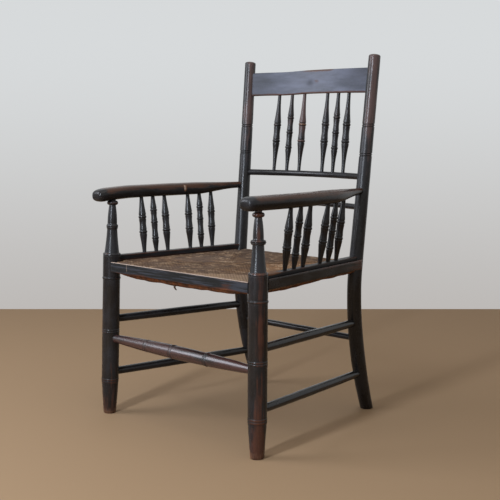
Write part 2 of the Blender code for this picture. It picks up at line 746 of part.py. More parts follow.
def arm_spindles(side, word):
    """Two groups of three spindles between the spindle rail and an arm."""
    rail_top = spindle_rail_z() + SPINDLE_RAIL_HEIGHT / 2
    number = 0
    for group_low, group_high in zip(ARM_SPINDLE_GROUPS_LOW, ARM_SPINDLE_GROUPS_HIGH):
        for place in range(3):
            number += 1
            y = group_low + place * ARM_SPINDLE_PITCH_LOW
            low = side_line(side, y, rail_top)
            low.x += side * ARM_SPINDLE_OUTSET
            top_y = group_high + place * ARM_SPINDLE_PITCH_HIGH
            bottom = arm_section(top_y)[1]
            high = Vector((side * (arm_x(top_y) + ARM_SPINDLE_OUTSET), top_y - MIDDLE_Y, bottom))
            if place == 1:
                radius, rings = MIDDLE_SPINDLE_RADIUS, MIDDLE_RINGS_ARM
            else:
                radius, rings = OUTER_SPINDLE_RADIUS, OUTER_RINGS_ARM
            name = "arm_spindle_%s_%d" % (word, number)
            shape = (ARM_SPINDLE_END_RADIUS, radius, rings, ARM_SPINDLE_TAPER)
            spindle(name, low, high, ("spindle_rail_" + word, "arm_" + word), shape)


# Seat


def spindle_rail_z():
    """Height of the middle of the rails that carry the arm spindles."""
    return SEAT_RAIL_Z + RUSH_ABOVE + CLEARANCE + SPINDLE_RAIL_HEIGHT / 2


def side_line(side, y, z):
    """A point above a side seat rail's axis, at a depth."""
    front = leg_axis(side, SEAT_RAIL_Z)
    back = post_axis(side, SEAT_RAIL_Z)
    t = (y - MIDDLE_Y - front.y) / (back.y - front.y)
    place = front.lerp(back, t)
    return Vector((place.x, place.y, z))


def seat_rails():
    """Four round rails that the rush is wrapped around."""
    corners = {
        "front": (leg_axis(-1, SEAT_RAIL_Z), leg_axis(1, SEAT_RAIL_Z),
                  "front_leg_left", "front_leg_right"),
        "back": (post_axis(-1, SEAT_RAIL_Z), post_axis(1, SEAT_RAIL_Z),
                 "back_post_left", "back_post_right"),
        "left": (leg_axis(-1, SEAT_RAIL_Z), post_axis(-1, SEAT_RAIL_Z),
                 "front_leg_left", "back_post_left"),
        "right": (leg_axis(1, SEAT_RAIL_Z), post_axis(1, SEAT_RAIL_Z),
                  "front_leg_right", "back_post_right"),
    }
    for word, (first, second, first_host, second_host) in corners.items():
        start, end = bar_ends(first, second)
        length = (end - start).length
        tenon = SEAT_TENON_LENGTH
        full = tenon + SEAT_TENON_SLOPE
        profile = [(0.0, SEAT_TENON_RADIUS), (tenon, SEAT_TENON_RADIUS), (full, SEAT_RAIL_RADIUS)]
        profile += [(length - along, radius) for along, radius in reversed(profile)]
        turned("seat_rail_" + word, profile, start, end, BARE_WOOD, BAR_SIDES)
        bar_mortises(first_host, second_host, start, end, SEAT_TENON_RADIUS)
        group = "tunnels_across" if word in ("front", "back") else "tunnels_along"
        bore("rush_seat", start, end, SEAT_RAIL_RADIUS, group)


def spread(t, size):
    """Place of a grid line across the seat, with the lines close together near the edges."""
    count = len(RUSH_EDGE_STEPS) - 1
    edge = RUSH_EDGE_STEPS[-1]
    index = round(t * RUSH_GRID)
    if index <= count:
        return RUSH_EDGE_STEPS[index] / size
    if index >= RUSH_GRID - count:
        return 1 - RUSH_EDGE_STEPS[RUSH_GRID - index] / size
    inner = (index - count) / (RUSH_GRID - 2 * count)
    return mix(edge, size - edge, inner) / size


def rush_seat():
    """The rush as one solid, wrapped over the four rails and notched around the legs."""
    front = leg_axis(1, SEAT_RAIL_Z)
    back = post_axis(1, SEAT_RAIL_Z)
    front_y = front.y - RUSH_OUTSET
    back_y = back.y + RUSH_OUTSET
    depth = back_y - front_y
    slope = (back.x - front.x) / (back.y - front.y)
    shape = bmesh.new()
    bmesh.ops.create_cube(shape, size=1.0)
    flat = [e for e in shape.edges if abs(e.verts[0].co.z - e.verts[1].co.z) < 0.5]
    bmesh.ops.subdivide_edges(shape, edges=flat, cuts=RUSH_GRID - 1, use_grid_fill=True)
    for vert in shape.verts:
        v = spread(vert.co.y + 0.5, depth)
        y = mix(front_y, back_y, v)
        half = front.x + slope * (y - front.y) + RUSH_OUTSET
        u = spread(vert.co.x + 0.5, 2 * half)
        x = mix(-half, half, u)
        edge = min(half - abs(x), y - front_y, back_y - y)
        inset = min(1.0, max(0.0, edge / RUSH_OUTSET))
        swell = (1 - (1 - inset) ** RUSH_EDGE_POWER) ** (1 / RUSH_EDGE_POWER)
        swell = max(RUSH_EDGE_SHARE, swell)
        below = mix(RUSH_BELOW_FRONT, RUSH_BELOW_BACK, v ** 0.7)
        below += RUSH_FRONT_SAG * (1 - (x / half) ** 2) * (1 - v) + sag(edge)
        near = math.hypot(front.x - abs(x), y - front.y)
        below -= RUSH_CORNER_LIFT * max(0.0, 1 - near / RUSH_CORNER_REACH)
        z = SEAT_RAIL_Z + (RUSH_ABOVE if vert.co.z > 0 else -below) * swell
        vert.co = (x, y, z)
    bmesh.ops.recalc_face_normals(shape, faces=shape.faces)
    mesh = bpy.data.meshes.new("rush_seat")
    shape.to_mesh(mesh)
    shape.free()
    mesh.shade_smooth()
    mesh.set_sharp_from_angle(angle=math.radians(50))
    add_part("rush_seat", mesh, RUSH)
    low_z = SEAT_RAIL_Z - RUSH_NOTCH_HALF
    high_z = SEAT_RAIL_Z + RUSH_NOTCH_HALF
    post_hole = POST_LOW_RADIUS + RUSH_LEG_GAP
    upright = Vector((0.0, 0.0, RUSH_NOTCH_HALF))
    for side in (-1, 1):
        low, high = leg_axis(side, low_z), leg_axis(side, high_z)
        bore("rush_seat", low, high, BLOCK_RADIUS + 2 * RING_RISE + RUSH_LEG_GAP, "notches")
        post = post_axis(side, SEAT_RAIL_Z)
        bore("rush_seat", post - upright, post + upright, post_hole, "notches")


def sag(edge):
    """How far the underside of the rush hangs lower away from the rails."""
    t = min(1.0, max(0.0, (edge - RUSH_SAG_START) / (RUSH_SAG_END - RUSH_SAG_START)))
    return RUSH_SAG * t * t * (3 - 2 * t)


def board(name, start, end, height, thickness, edge, look):
    """A straight board with eased edges, its length along the line from start to end."""
    shape = bmesh.new()
    bmesh.ops.create_cube(shape, size=1.0)
    bmesh.ops.scale(shape, verts=shape.verts, vec=((end - start).length, thickness, height))
    mesh = bpy.data.meshes.new(name)
    shape.to_mesh(mesh)
    shape.free()
    part = add_part(name, mesh, look)
    turn = (end - start).to_track_quat("X", "Z").to_matrix().to_4x4()
    part.matrix_world = Matrix.Translation((start + end) / 2) @ turn
    bevel = part.modifiers.new("edges", "BEVEL")
    bevel.width = edge
    bevel.segments = 1
    return part


def strips():
    """Thin strips that cap the edges of the rush, their ends scribed to the legs and posts."""
    out = RUSH_OUTSET + CLEARANCE + STRIP_THICKNESS / 2
    leg = leg_axis(1, SEAT_RAIL_Z)
    rush_top = SEAT_RAIL_Z + RUSH_ABOVE
    z = rush_top - FRONT_STRIP_HEIGHT / 2
    start = Vector((-leg.x, leg.y - out, z))
    end = Vector((leg.x, leg.y - out, z))
    board("front_strip", start, end, FRONT_STRIP_HEIGHT, STRIP_THICKNESS, STRIP_EDGE, BLACK_WOOD)
    for side in (-1, 1):
        low, high = leg_axis(side, z - FRONT_STRIP_HEIGHT), leg_axis(side, z + FRONT_STRIP_HEIGHT)
        bore("front_strip", low, high, BLOCK_RADIUS, "scribes")

    z = rush_top + SIDE_STRIP_ABOVE_RUSH - SIDE_STRIP_HEIGHT / 2
    for side, word in ((-1, "left"), (1, "right")):
        front = leg_axis(side, SEAT_RAIL_Z)
        back = post_axis(side, SEAT_RAIL_Z)
        along = (back - front).normalized()
        outward = Vector((side * along.y, -side * along.x, 0.0)).normalized()
        start = front + outward * out
        end = back + outward * out
        start.z = z
        end.z = z
        name = "side_strip_" + word
        board(name, start, end, SIDE_STRIP_HEIGHT, STRIP_THICKNESS, STRIP_EDGE, BLACK_WOOD)
        low_z, high_z = z - SIDE_STRIP_HEIGHT, z + SIDE_STRIP_HEIGHT
        bore(name, leg_axis(side, low_z), leg_axis(side, high_z), BLOCK_RADIUS, "scribes")
        low, high = post_axis(side, low_z), post_axis(side, high_z)
        bore(name, low, high, POST_SEAT_RADIUS + CLEARANCE, "scribes")


def spindle_rail(side, word):
    """The flat rail on the rush that carries the arm spindles, housed in leg and post."""
    z = spindle_rail_z()
    start, end = bar_ends(leg_axis(side, z), post_axis(side, z))
    name = "spindle_rail_" + word
    width = 2 * SPINDLE_RAIL_HALF_WIDTH
    board(name, start, end, SPINDLE_RAIL_HEIGHT, width, SPINDLE_RAIL_EDGE, BLACK_WOOD)
    housing("front_leg_" + word, start, end, width, SPINDLE_RAIL_HEIGHT)
    housing("back_post_" + word, end, start, width, SPINDLE_RAIL_HEIGHT)


def main():
    clear_scene()
    for side, word in ((-1, "left"), (1, "right")):
        front_leg(side, "front_leg_" + word)
        back_post(side, "back_post_" + word)
    stretchers()
    crest_rail()
    rod("back_rod_upper", UPPER_ROD_Z, UPPER_ROD_RADIUS)
    rod("back_rod_lower", LOWER_ROD_Z, LOWER_ROD_RADIUS)
    back_spindles()
    rush_seat()
    seat_rails()
    strips()
    for side, word in ((-1, "left"), (1, "right")):
        arm(side, word)
        spindle_rail(side, word)
        arm_spindles(side, word)
    cut_holes()


main()
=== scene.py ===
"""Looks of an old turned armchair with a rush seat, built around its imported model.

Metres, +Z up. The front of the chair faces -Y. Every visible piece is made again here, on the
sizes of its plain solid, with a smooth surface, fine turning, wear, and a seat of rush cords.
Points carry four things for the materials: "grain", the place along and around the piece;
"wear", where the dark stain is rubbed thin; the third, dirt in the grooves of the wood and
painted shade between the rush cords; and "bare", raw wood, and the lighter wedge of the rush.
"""
import math
import random

import bpy
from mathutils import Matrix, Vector, noise


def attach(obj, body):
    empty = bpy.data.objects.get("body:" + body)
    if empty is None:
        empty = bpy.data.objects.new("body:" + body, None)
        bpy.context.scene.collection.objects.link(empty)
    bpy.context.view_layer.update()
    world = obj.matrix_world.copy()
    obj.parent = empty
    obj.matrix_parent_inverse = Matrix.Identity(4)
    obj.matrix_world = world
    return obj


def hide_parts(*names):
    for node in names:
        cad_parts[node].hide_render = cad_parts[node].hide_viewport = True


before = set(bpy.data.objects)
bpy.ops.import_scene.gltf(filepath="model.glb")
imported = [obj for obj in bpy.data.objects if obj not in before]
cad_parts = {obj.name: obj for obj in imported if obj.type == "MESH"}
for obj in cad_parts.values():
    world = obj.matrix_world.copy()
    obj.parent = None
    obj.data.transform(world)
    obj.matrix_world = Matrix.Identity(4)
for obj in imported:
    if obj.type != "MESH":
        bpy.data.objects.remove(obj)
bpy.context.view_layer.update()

# Sizes of the chair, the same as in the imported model, and of its finer shapes and marks
MIDDLE_Y = 0.219969
LEG_FOOT = (0.251, -0.015)
LEG_TOP = (0.2435, -0.003)
LEG_TOP_Z = 0.541
FOOT_RADIUS = 0.0155
LEG_RADIUS = 0.0213
BLOCK_RADIUS = 0.0216
FLARE_RADIUS = 0.0181
WAIST_RADIUS = 0.0127
WAIST_POWER = 1.3
NECK_RADIUS = 0.008
KNOB_RADIUS = 0.0136
BEAD_RADIUS = 0.0166
LOW_RING_Z = 0.082
LEG_RING_Z = 0.206
BLOCK_RING_Z = 0.337
SHOULDER_Z = 0.399
ARM_RING_Z = 0.463
KNOB_Z = 0.5212
KNOB_HALF = 0.0055
RING_RISE = 0.0008
RING_HALF = 0.003
FINE_RISE = 0.0011
LEG_RING_RISE = 0.0005
LEFT_BEAD = 0.4
FINE_GROOVE = (0.001, -0.0006)
FOOT_EDGE = (0.0012, 0.001)

POST_HEIGHT = 0.88
POST_FOOT_X = 0.187
POST_TOP_X = 0.2075
POST_BEND_Z = 0.36
POST_BEND_Y = 0.3936
POST_RAKE = 0.102
POST_SWEEP = 0.1
POST_SWEEP_POWER = 1.72
POST_AT_SEAT = 0.0173
POST_AT_ARM = 0.0162
POST_RADII = ((0.0, 0.0158), (0.12, 0.018), (0.187, 0.018), (0.3665, POST_AT_SEAT),
              (0.5505, POST_AT_ARM), (0.88, 0.0145))
POST_GROOVES = (0.638, 0.709)
POST_DOME = 0.005

CREST_Z = 0.818
CREST_HEIGHT = 0.0612
CREST_THICKNESS = 0.015
CREST_BOW = 0.04
CREST_ARCH = 0.004
CREST_DIP = 0.0018
ROD_BOW = 0.038
UPPER_ROD = (0.584, 0.0079)
LOWER_ROD = (0.51, 0.0072)

# End radius, full radius, places of the rings and power of the taper of each kind of spindle
OUTER_BACK = (0.0048, 0.0098, (0.386, 0.6), 2.0)
MIDDLE_BACK = (0.0048, 0.0086, (0.3, 0.497, 0.69), 2.0)
OUTER_ARM = (0.0051, 0.0098, (0.37, 0.64), 1.3)
MIDDLE_ARM = (0.0051, 0.0086, (0.24, 0.53, 0.75), 1.3)
SPINDLE_TENON = 0.007
SPINDLE_RING_HALF = 0.007
SPINDLE_WAIST = 0.0014
SPINDLE_STEP = 0.0003
BACK_SPINDLE_PITCH = 0.0388
ARM_GROUPS_LOW = (0.0895, 0.2305)
ARM_PITCH_LOW = 0.0353
ARM_GROUPS_HIGH = (0.093, 0.238)
ARM_PITCH_HIGH = 0.036
ARM_SPINDLE_OUTSET = 0.0015

ARM_TIP_Y = -0.051
ARM_FRONT_X = 0.2485
ARM_BEND_Y = 0.08
ARM_BEND_POWER = 1.65
ARM_TOP_Z = 0.5615
ARM_BOTTOM_Z = 0.5295
ARM_HALF_WIDTH = 0.022
ARM_REAR_Z = 0.5503
ARM_REAR_RADIUS = 0.0085
ARM_TAPER_Y = 0.25
ARM_NOSE = 0.024
ARM_NOSE_POWER = 2.6
ARM_NOSE_TIP = (0.42, 0.28)
LEFT_ARM_DROOP = 0.0035
LEFT_NOSE_DROOP = 0.00245
CHIP_Y = 0.2125

SIDE_STRETCHERS = (("upper", 0.2345, 0.227), ("lower", 0.1025, 0.0965))
SIDE_STRETCHER_RADII = (0.0093, 0.0104)
BACK_STRETCHER_Z = 0.187
BACK_STRETCHER_RADII = (0.0075, 0.0082)
FRONT_STRETCHER_Z = 0.188
FRONT_STRETCHER_RADII = (0.01, 0.016)
FRONT_STRETCHER_RINGS = ((0.255, 0.0006), (0.462, 0.001), (0.722, 0.001))
FRONT_STRETCHER_TENON = 0.02

SEAT_RAIL_Z = 0.3665
RUSH_ABOVE = 0.0125
RUSH_BELOW_FRONT = 0.0205
RUSH_BELOW_BACK = 0.012
RUSH_FRONT_SAG = 0.005
RUSH_OUTSET = 0.014
RUSH_SAG = 0.008
RUSH_CORNER_LIFT = 0.0075
RUSH_CORNER_REACH = 0.09
RUSH_LUMPS = 0.0022
RUSH_DISH = 0.0012
RUSH_RIPPLE = 0.0007
STRIP_THICKNESS = 0.005
FRONT_STRIP = (0.367, 0.024)
SIDE_STRIP = (0.373, 0.023)
SPINDLE_RAIL_Z = 0.3858
SPINDLE_RAIL = (0.013, 0.02)
TENON_STOP = 0.0098
SHORT_END = 0.0195
SCRATCH_X = -0.1657
SCRATCH_POINTS = (-0.0011, -0.0005, 0.0, 0.0005, 0.0011)

CORD_RADIUS = 0.0025
CORD_PITCH = 0.005
CORD_TURN = (0.0, 0.0015, 0.004, 0.008, 0.013, 0.02)
CORD_STEP = 0.013
BRIDGE_HALF = 0.03
CORE_LEVELS = (0.359, 0.374)
CORE_CUT = 0.026
CORE_INSET = 0.004
LIGHTER_WEDGE_SLOPE = 0.62
LIGHTER_WEDGE_CORNER = (0.01, -0.25)
BROKEN_END = ((-0.0125, -0.229, 0.3475), (-0.0112, -0.2315, 0.345), (-0.01, -0.233, 0.342),
              (-0.0085, -0.234, 0.339), (-0.005, -0.2345, 0.336), (-0.0015, -0.235, 0.3345))

CAMERA_PLACE = Vector((1.66736, -1.74414, 0.70326))
CAMERA_TILT = math.radians(84.64)
CAMERA_HEADING = math.radians(43.67)
WALL_DISTANCE = 3.825

# Each lamp's name, place, target, size, power and colour
LAMPS = (
    ("narrow_window", (0.42, -2.4, 1.32), (0.0, -0.1, 0.5), (0.22, 1.6), 52.0, (0.8, 0.88, 1.0)),
    ("wide_window", (-1.75, -1.95, 1.8), (0.0, 0.0, 0.5), (1.3, 1.8), 44.0, (0.86, 0.9, 1.0)),
    ("ceiling", (0.6, -0.3, 2.9), (0.0, 0.0, 0.4), (2.4, 2.4), 14.0, (1.0, 0.96, 0.9)),
)

SIDES = {"left": -1, "right": 1}


# Small helpers


def mix(a, b, t):
    return a + (b - a) * t


def clamp(value):
    return min(1.0, max(0.0, value))


def ease(low, high, value):
    """0 at low and before it, 1 at high and past it, smooth between. Low may be the larger one."""
    t = clamp((value - low) / (high - low))
    return t * t * (3 - 2 * t)


def near(value, centre, width):
    """1 at the centre, fading on both sides."""
    return math.exp(-((value - centre) / width) ** 2)


def spread(low, high, count):
    """Places at even steps from low to high."""
    return [mix(low, high, i / count) for i in range(count + 1)]


def neighbours(items):
    """Each item with the ones before and after it, or itself at an end."""
    return zip(items, items[:1] + items[:-1], items[1:] + items[-1:])


def circle(count):
    """Cosine and sine of evenly spaced angles."""
    angles = [math.tau * j / count for j in range(count)]
    return [(math.cos(angle), math.sin(angle)) for angle in angles]


def along_stations(stations, value):
    """Straight interpolation in a list of (place, number)."""
    for (p0, n0), (p1, n1) in zip(stations, stations[1:]):
        if value <= p1:
            return mix(n0, n1, max(0.0, (value - p0) / (p1 - p0)))
    return stations[-1][1]


# Places on the frame


def post_y(z):
    y = POST_BEND_Y + POST_RAKE * (z - POST_BEND_Z)
    if z < POST_BEND_Z:
        y += POST_SWEEP * ((POST_BEND_Z - z) / POST_BEND_Z) ** POST_SWEEP_POWER
    return y


def leg_axis(side, z):
    t = z / LEG_TOP_Z
    y = mix(LEG_FOOT[1], LEG_TOP[1], t) - MIDDLE_Y
    return Vector((side * mix(LEG_FOOT[0], LEG_TOP[0], t), y, z))


def post_axis(side, z):
    x = mix(POST_FOOT_X, POST_TOP_X, z / POST_HEIGHT)
    return Vector((side * x, post_y(z) - MIDDLE_Y, z))


def back_point(x, z, bow):
    end = post_axis(1, z)
    return Vector((x, end.y + bow * (1 - (x / end.x) ** 2), z))


def side_line(side, y, z):
    front = leg_axis(side, SEAT_RAIL_Z)
    back = post_axis(side, SEAT_RAIL_Z)
    place = front.lerp(back, (y - MIDDLE_Y - front.y) / (back.y - front.y))
    place.z = z
    return place


def between(first, second):
    """The two ends of a bar, a little short of the two axes that it joins."""
    inset = (second - first).normalized() * TENON_STOP
    return first + inset, second - inset


# The seat's right corners, where the rush starts and ends, and where the arms meet the posts
SEAT_FRONT = leg_axis(1, SEAT_RAIL_Z)
SEAT_BACK = post_axis(1, SEAT_RAIL_Z)
RUSH_FRONT_Y = SEAT_FRONT.y - RUSH_OUTSET
RUSH_BACK_Y = SEAT_BACK.y + RUSH_OUTSET
ARM_REAR_Y = post_y(ARM_REAR_Z)


# Skins


def add_object(name, data):
    made = bpy.data.objects.new(name, data)
    bpy.context.scene.collection.objects.link(made)
    return made


def make_skin(name, tubes, material, solid):
    """A piece in place of a solid, from tubes of rings of (place, grain, (wear, dirt and painted shade,
    bare)).
    """
    points, faces, grains, marks = [], [], [], []
    for rings in tubes:
        count = len(rings[0])
        first = len(points)
        for ring in rings:
            for place, grain, mark in ring:
                points.append(place)
                grains.extend(grain)
                marks.append(mark)
        for i in range(len(rings) - 1):
            for j in range(count):
                a = first + i * count + j
                b = first + i * count + (j + 1) % count
                faces.append((a, b, b + count, a + count))
        for ring, start, turn in ((rings[0], first, -1), (rings[-1], len(points) - count, 1)):
            middle = sum((item[0] for item in ring), Vector()) / count
            points.append(middle)
            grains.extend(sum((Vector(item[1]) for item in ring), Vector()) / count)
            marks.append(ring[0][2])
            for j in range(count):
                face = (start + j, start + (j + 1) % count, len(points) - 1)
                faces.append(face[::turn])
    mesh = bpy.data.meshes.new(name)
    mesh.from_pydata(points, [], faces)
    store(mesh, "grain", "FLOAT_VECTOR", "vector", grains)
    for key, values in zip(("wear", "dirt_and_shade", "bare"), zip(*marks)):
        store(mesh, key, "FLOAT", "value", values)
    mesh.shade_smooth()
    mesh.set_sharp_from_angle(angle=math.radians(55))
    mesh.materials.append(material)
    piece = add_object(name, mesh)
    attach(piece, "root")
    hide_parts(solid)


def store(mesh, name, kind, key, values):
    mesh.attributes.new(name, kind, "POINT").data.foreach_set(key, values)


def relief(distance, features):
    """Rise, wear and dirt of the beads and grooves, each (place, half width, rise).

    A ring lower than FINE_RISE is rounded more softly.
    """
    rise, wear, dirt_and_shade = 0.0, 0.0, 0.0
    for centre, half, height in features:
        t = abs(distance - centre) / half
        if t < 1:
            swell = 1 - t * t
            rise += height * (swell if 0 < height < FINE_RISE else math.sqrt(swell))
            if height > 0:
                wear = max(wear, 1 - t)
            else:
                dirt_and_shade = max(dirt_and_shade, 1 - t * t)
        if height > 0:
            dirt_and_shade = max(dirt_and_shade, near((t - 1) * half, 0.0, 0.0007))
    return rise, wear, dirt_and_shade


def twins(centre, away, half, height):
    """Two beads or grooves, one on each side of a place."""
    return [(centre - away, half, height), (centre + away, half, height)]


def places(start, end, features, extra=(), step=0.006):
    """Distances along a piece, close together on its beads and grooves."""
    count = max(2, round((end - start) / step))
    found = {start, end, *spread(start, end, count), *extra}
    for centre, half, _ in features:
        found.update(centre + half * k * sign for k in (0, 0.3, 0.6, 0.85, 1, 1.3) for sign in (-1, 1))
    kept = []
    for place in sorted(p for p in found if start <= p <= end):
        if not kept or place - kept[-1] > 0.00012:
            kept.append(place)
    return kept


def wobble(place, amount, seed, scale=28.0):
    """A slight unevenness of hand turning and old knocks, mostly inward."""
    return amount * (noise.noise(place * scale + Vector((seed * 3.1, seed * 1.7, seed))) - 0.6)


def lathe(low, high, radius_at, features, seed, mark_at, sides, extra=(), uneven=0.00025, rub=0.22):
    """Rings of a turned piece that stands on the line from low to high.

    mark_at gives the wear and bare wood of a place, and rub is the wear that its beads add.
    """
    along = (high - low).normalized()
    turn = along.to_track_quat("Z", "Y").to_matrix()
    rings = []
    for distance in places(0.0, (high - low).length, features, extra):
        rise, wear, dirt_and_shade = relief(distance, features)
        radius = radius_at(distance) + rise
        ring = []
        for cos, sin in circle(sides):
            outward = turn @ Vector((cos, sin, 0.0))
            place = low + along * distance + outward * radius
            place += outward * wobble(place, uneven, seed)
            grain = (cos * radius, sin * radius, distance + seed * 0.73)
            mark = mark_at(place, outward)
            ring.append((place, grain, (min(1.0, mark[0] + rub * wear), dirt_and_shade, mark[1])))
        rings.append(ring)
    return rings


def rounded_section(width, height, radius, per_corner=4, per_side=6):
    """Outline of a board's end as (across, up, edge), with edge 1 on its corners."""
    arcs = []
    for index, (sx, sy) in enumerate(((1, 1), (-1, 1), (-1, -1), (1, -1))):
        angles = [math.tau * (index + k / per_corner) / 4 for k in range(per_corner + 1)]
        arcs.append([(sx * (width / 2 - radius) + radius * math.cos(angle),
                      sy * (height / 2 - radius) + radius * math.sin(angle)) for angle in angles])
    outline = []
    for arc, following in zip(arcs, arcs[1:] + arcs[:1]):
        outline += [(*place, 1.0) for place in arc]
        last, first = arc[-1], following[0]
        for k in range(1, per_side):
            t = k / per_side
            edge = max(0.0, 1 - min(t, 1 - t) * math.dist(last, first) / 0.003)
            outline.append((mix(last[0], first[0], t), mix(last[1], first[1], t), edge))
    return outline


# Materials


def connect(tree, made, values):
    """Gives the inputs of a node their numbers or links."""
    for key, value in values.items():
        if isinstance(value, bpy.types.NodeSocket):
            tree.links.new(value, made.inputs[key])
        else:
            made.inputs[key].default_value = value


def node(tree, kind, values=None, **settings):
    """A shader node with its settings and its inputs."""
    made = tree.nodes.new(kind)
    for key, value in settings.items():
        setattr(made, key, value)
    connect(tree, made, values or {})
    return made


def field(tree, name, output="Fac"):
    return node(tree, "ShaderNodeAttribute", attribute_name=name).outputs[output]


def cloud(tree, vector, stretch, detail=4.0, rough=0.55):
    """Noise on a stretched place."""
    scaled = node(tree, "ShaderNodeVectorMath", {0: vector, 1: stretch}, operation="MULTIPLY")
    made = node(tree, "ShaderNodeTexNoise",
                {"Vector": scaled.outputs[0], "Scale": 1.0, "Detail": detail, "Roughness": rough})
    return made.outputs[0]


def calc(tree, operation, first, second=0.0, third=0.0):
    values = {0: first, 1: second, 2: third}
    return node(tree, "ShaderNodeMath", values, operation=operation).outputs[0]


def add(tree, value, weight, other):
    """The value times its weight, plus the other value."""
    return calc(tree, "MULTIPLY_ADD", value, weight, other)


def step_up(tree, value, low, high, bottom=0.0, top=1.0):
    """From bottom to top while the value goes from low to high."""
    values = {"Value": value, "From Min": low, "From Max": high, "To Min": bottom, "To Max": top}
    made = node(tree, "ShaderNodeMapRange", values, interpolation_type="SMOOTHSTEP")
    return made.outputs["Result"]


def tint(tree, amount, first, second):
    """From the first colour to the second."""
    first, second = ((*value, 1.0) if isinstance(value, tuple) else value for value in (first, second))
    values = {0: amount, 6: first, 7: second}
    return node(tree, "ShaderNodeMix", values, data_type="RGBA").outputs[2]


def layered(tree, colour, layers):
    """The colour under layers of (share, colour)."""
    for share, shade in layers:
        colour = tint(tree, share, colour, shade)
    return colour


def new_material(name):
    material = bpy.data.materials.new(name)
    material.use_nodes = True
    return material, material.node_tree, material.node_tree.nodes["Principled BSDF"]


def bump(tree, height, strength, distance):
    values = {"Height": height, "Strength": strength, "Distance": distance}
    return node(tree, "ShaderNodeBump", values).outputs[0]


def part_of(tree, vector, axis):
    return node(tree, "ShaderNodeSeparateXYZ", {0: vector}).outputs[axis]


def stain_colour(tree, look, streaks, fibres, patches, film):
    """The stain, thinner where it is rubbed, and the share of raw wood."""
    rubbed = add(tree, patches, 0.55, calc(tree, "MULTIPLY", streaks, 0.45))
    rubbed = add(tree, field(tree, "wear"), 0.8, rubbed)
    bare = field(tree, "bare")
    raw = add(tree, fibres, 0.4, add(tree, patches, 0.5, bare))
    raw = step_up(tree, raw, 0.72, 1.05)
    return layered(tree, tint(tree, streaks, look["black"], look["soot"]), (
        # A bluish film: partly a real bloom of the old shellac, partly painted sheen of the window
        # light.
        (step_up(tree, film, *look["film_edges"], 0.0, look["film"]), look["bloom_and_sheen"]),
        (step_up(tree, rubbed, 0.72, 0.96), tint(tree, streaks, look["brown"], look["red"])),
        (step_up(tree, add(tree, fibres, 0.25, rubbed), 1.22, 1.42), look["orange"]),
        (raw, tint(tree, streaks, look["raw_dark"], look["raw"])),
        (step_up(tree, bare, 1.1, 1.6), (0.6, 0.54, 0.46)),
    )), raw


def dust_share(tree, grain, film, amount):
    """Dust that lies on what faces up, and a few specks everywhere."""
    normal = node(tree, "ShaderNodeNewGeometry").outputs["Normal"]
    lying = step_up(tree, part_of(tree, normal, 2), 0.75, 1.0, 0.0, amount)
    lying = calc(tree, "MULTIPLY", lying, step_up(tree, film, 0.35, 0.6))
    specks = cloud(tree, grain, (700.0, 700.0, 500.0), 2.0)
    return calc(tree, "MAXIMUM", lying, step_up(tree, specks, 0.66, 0.74, 0.0, 0.25))


def stained_wood(name, look):
    """Dark stain and old shellac over wood, rubbed thin along the grain and on the edges, under a
    bluish film that is partly real bloom and partly painted sheen.
    """
    material, tree, shader = new_material(name)
    grain = field(tree, "grain", "Vector")
    streaks = cloud(tree, grain, (260.0, 260.0, 14.0), 5.0)
    fibres = cloud(tree, grain, (900.0, 900.0, 45.0), 3.0)
    patches = cloud(tree, grain, (38.0, 38.0, 17.0), 4.0)
    film = cloud(tree, grain, look["film_scale"], 5.0, 0.6)
    dirt_and_shade = field(tree, "dirt_and_shade")
    dust = dust_share(tree, grain, film, look["dust"])

    colour, raw = stain_colour(tree, look, streaks, fibres, patches, film)
    colour = layered(tree, colour, ((calc(tree, "MULTIPLY", dirt_and_shade, 0.75), (0.008, 0.007, 0.007)),
                                    (dust, (0.19, 0.17, 0.15))))

    gloss = add(tree, film, 0.4, look["roughness"] - 0.2)
    for share, amount in ((raw, 0.25), (dirt_and_shade, 0.2), (dust, 0.5)):
        gloss = add(tree, share, amount, gloss)

    craze = node(tree, "ShaderNodeTexVoronoi", {"Vector": grain, "Scale": 420.0},
                 feature="DISTANCE_TO_EDGE").outputs[0]
    height = add(tree, step_up(tree, craze, 0.0, 0.1), 0.3, streaks)
    height = add(tree, fibres, 0.45, height)
    connect(tree, shader, {
        "Base Color": colour, "Roughness": gloss, "Specular IOR Level": look["specular"],
        "Coat Weight": look["coat"], "Coat Roughness": 0.16,
        "Normal": bump(tree, height, look["bump"], 0.0004),
    })
    return material


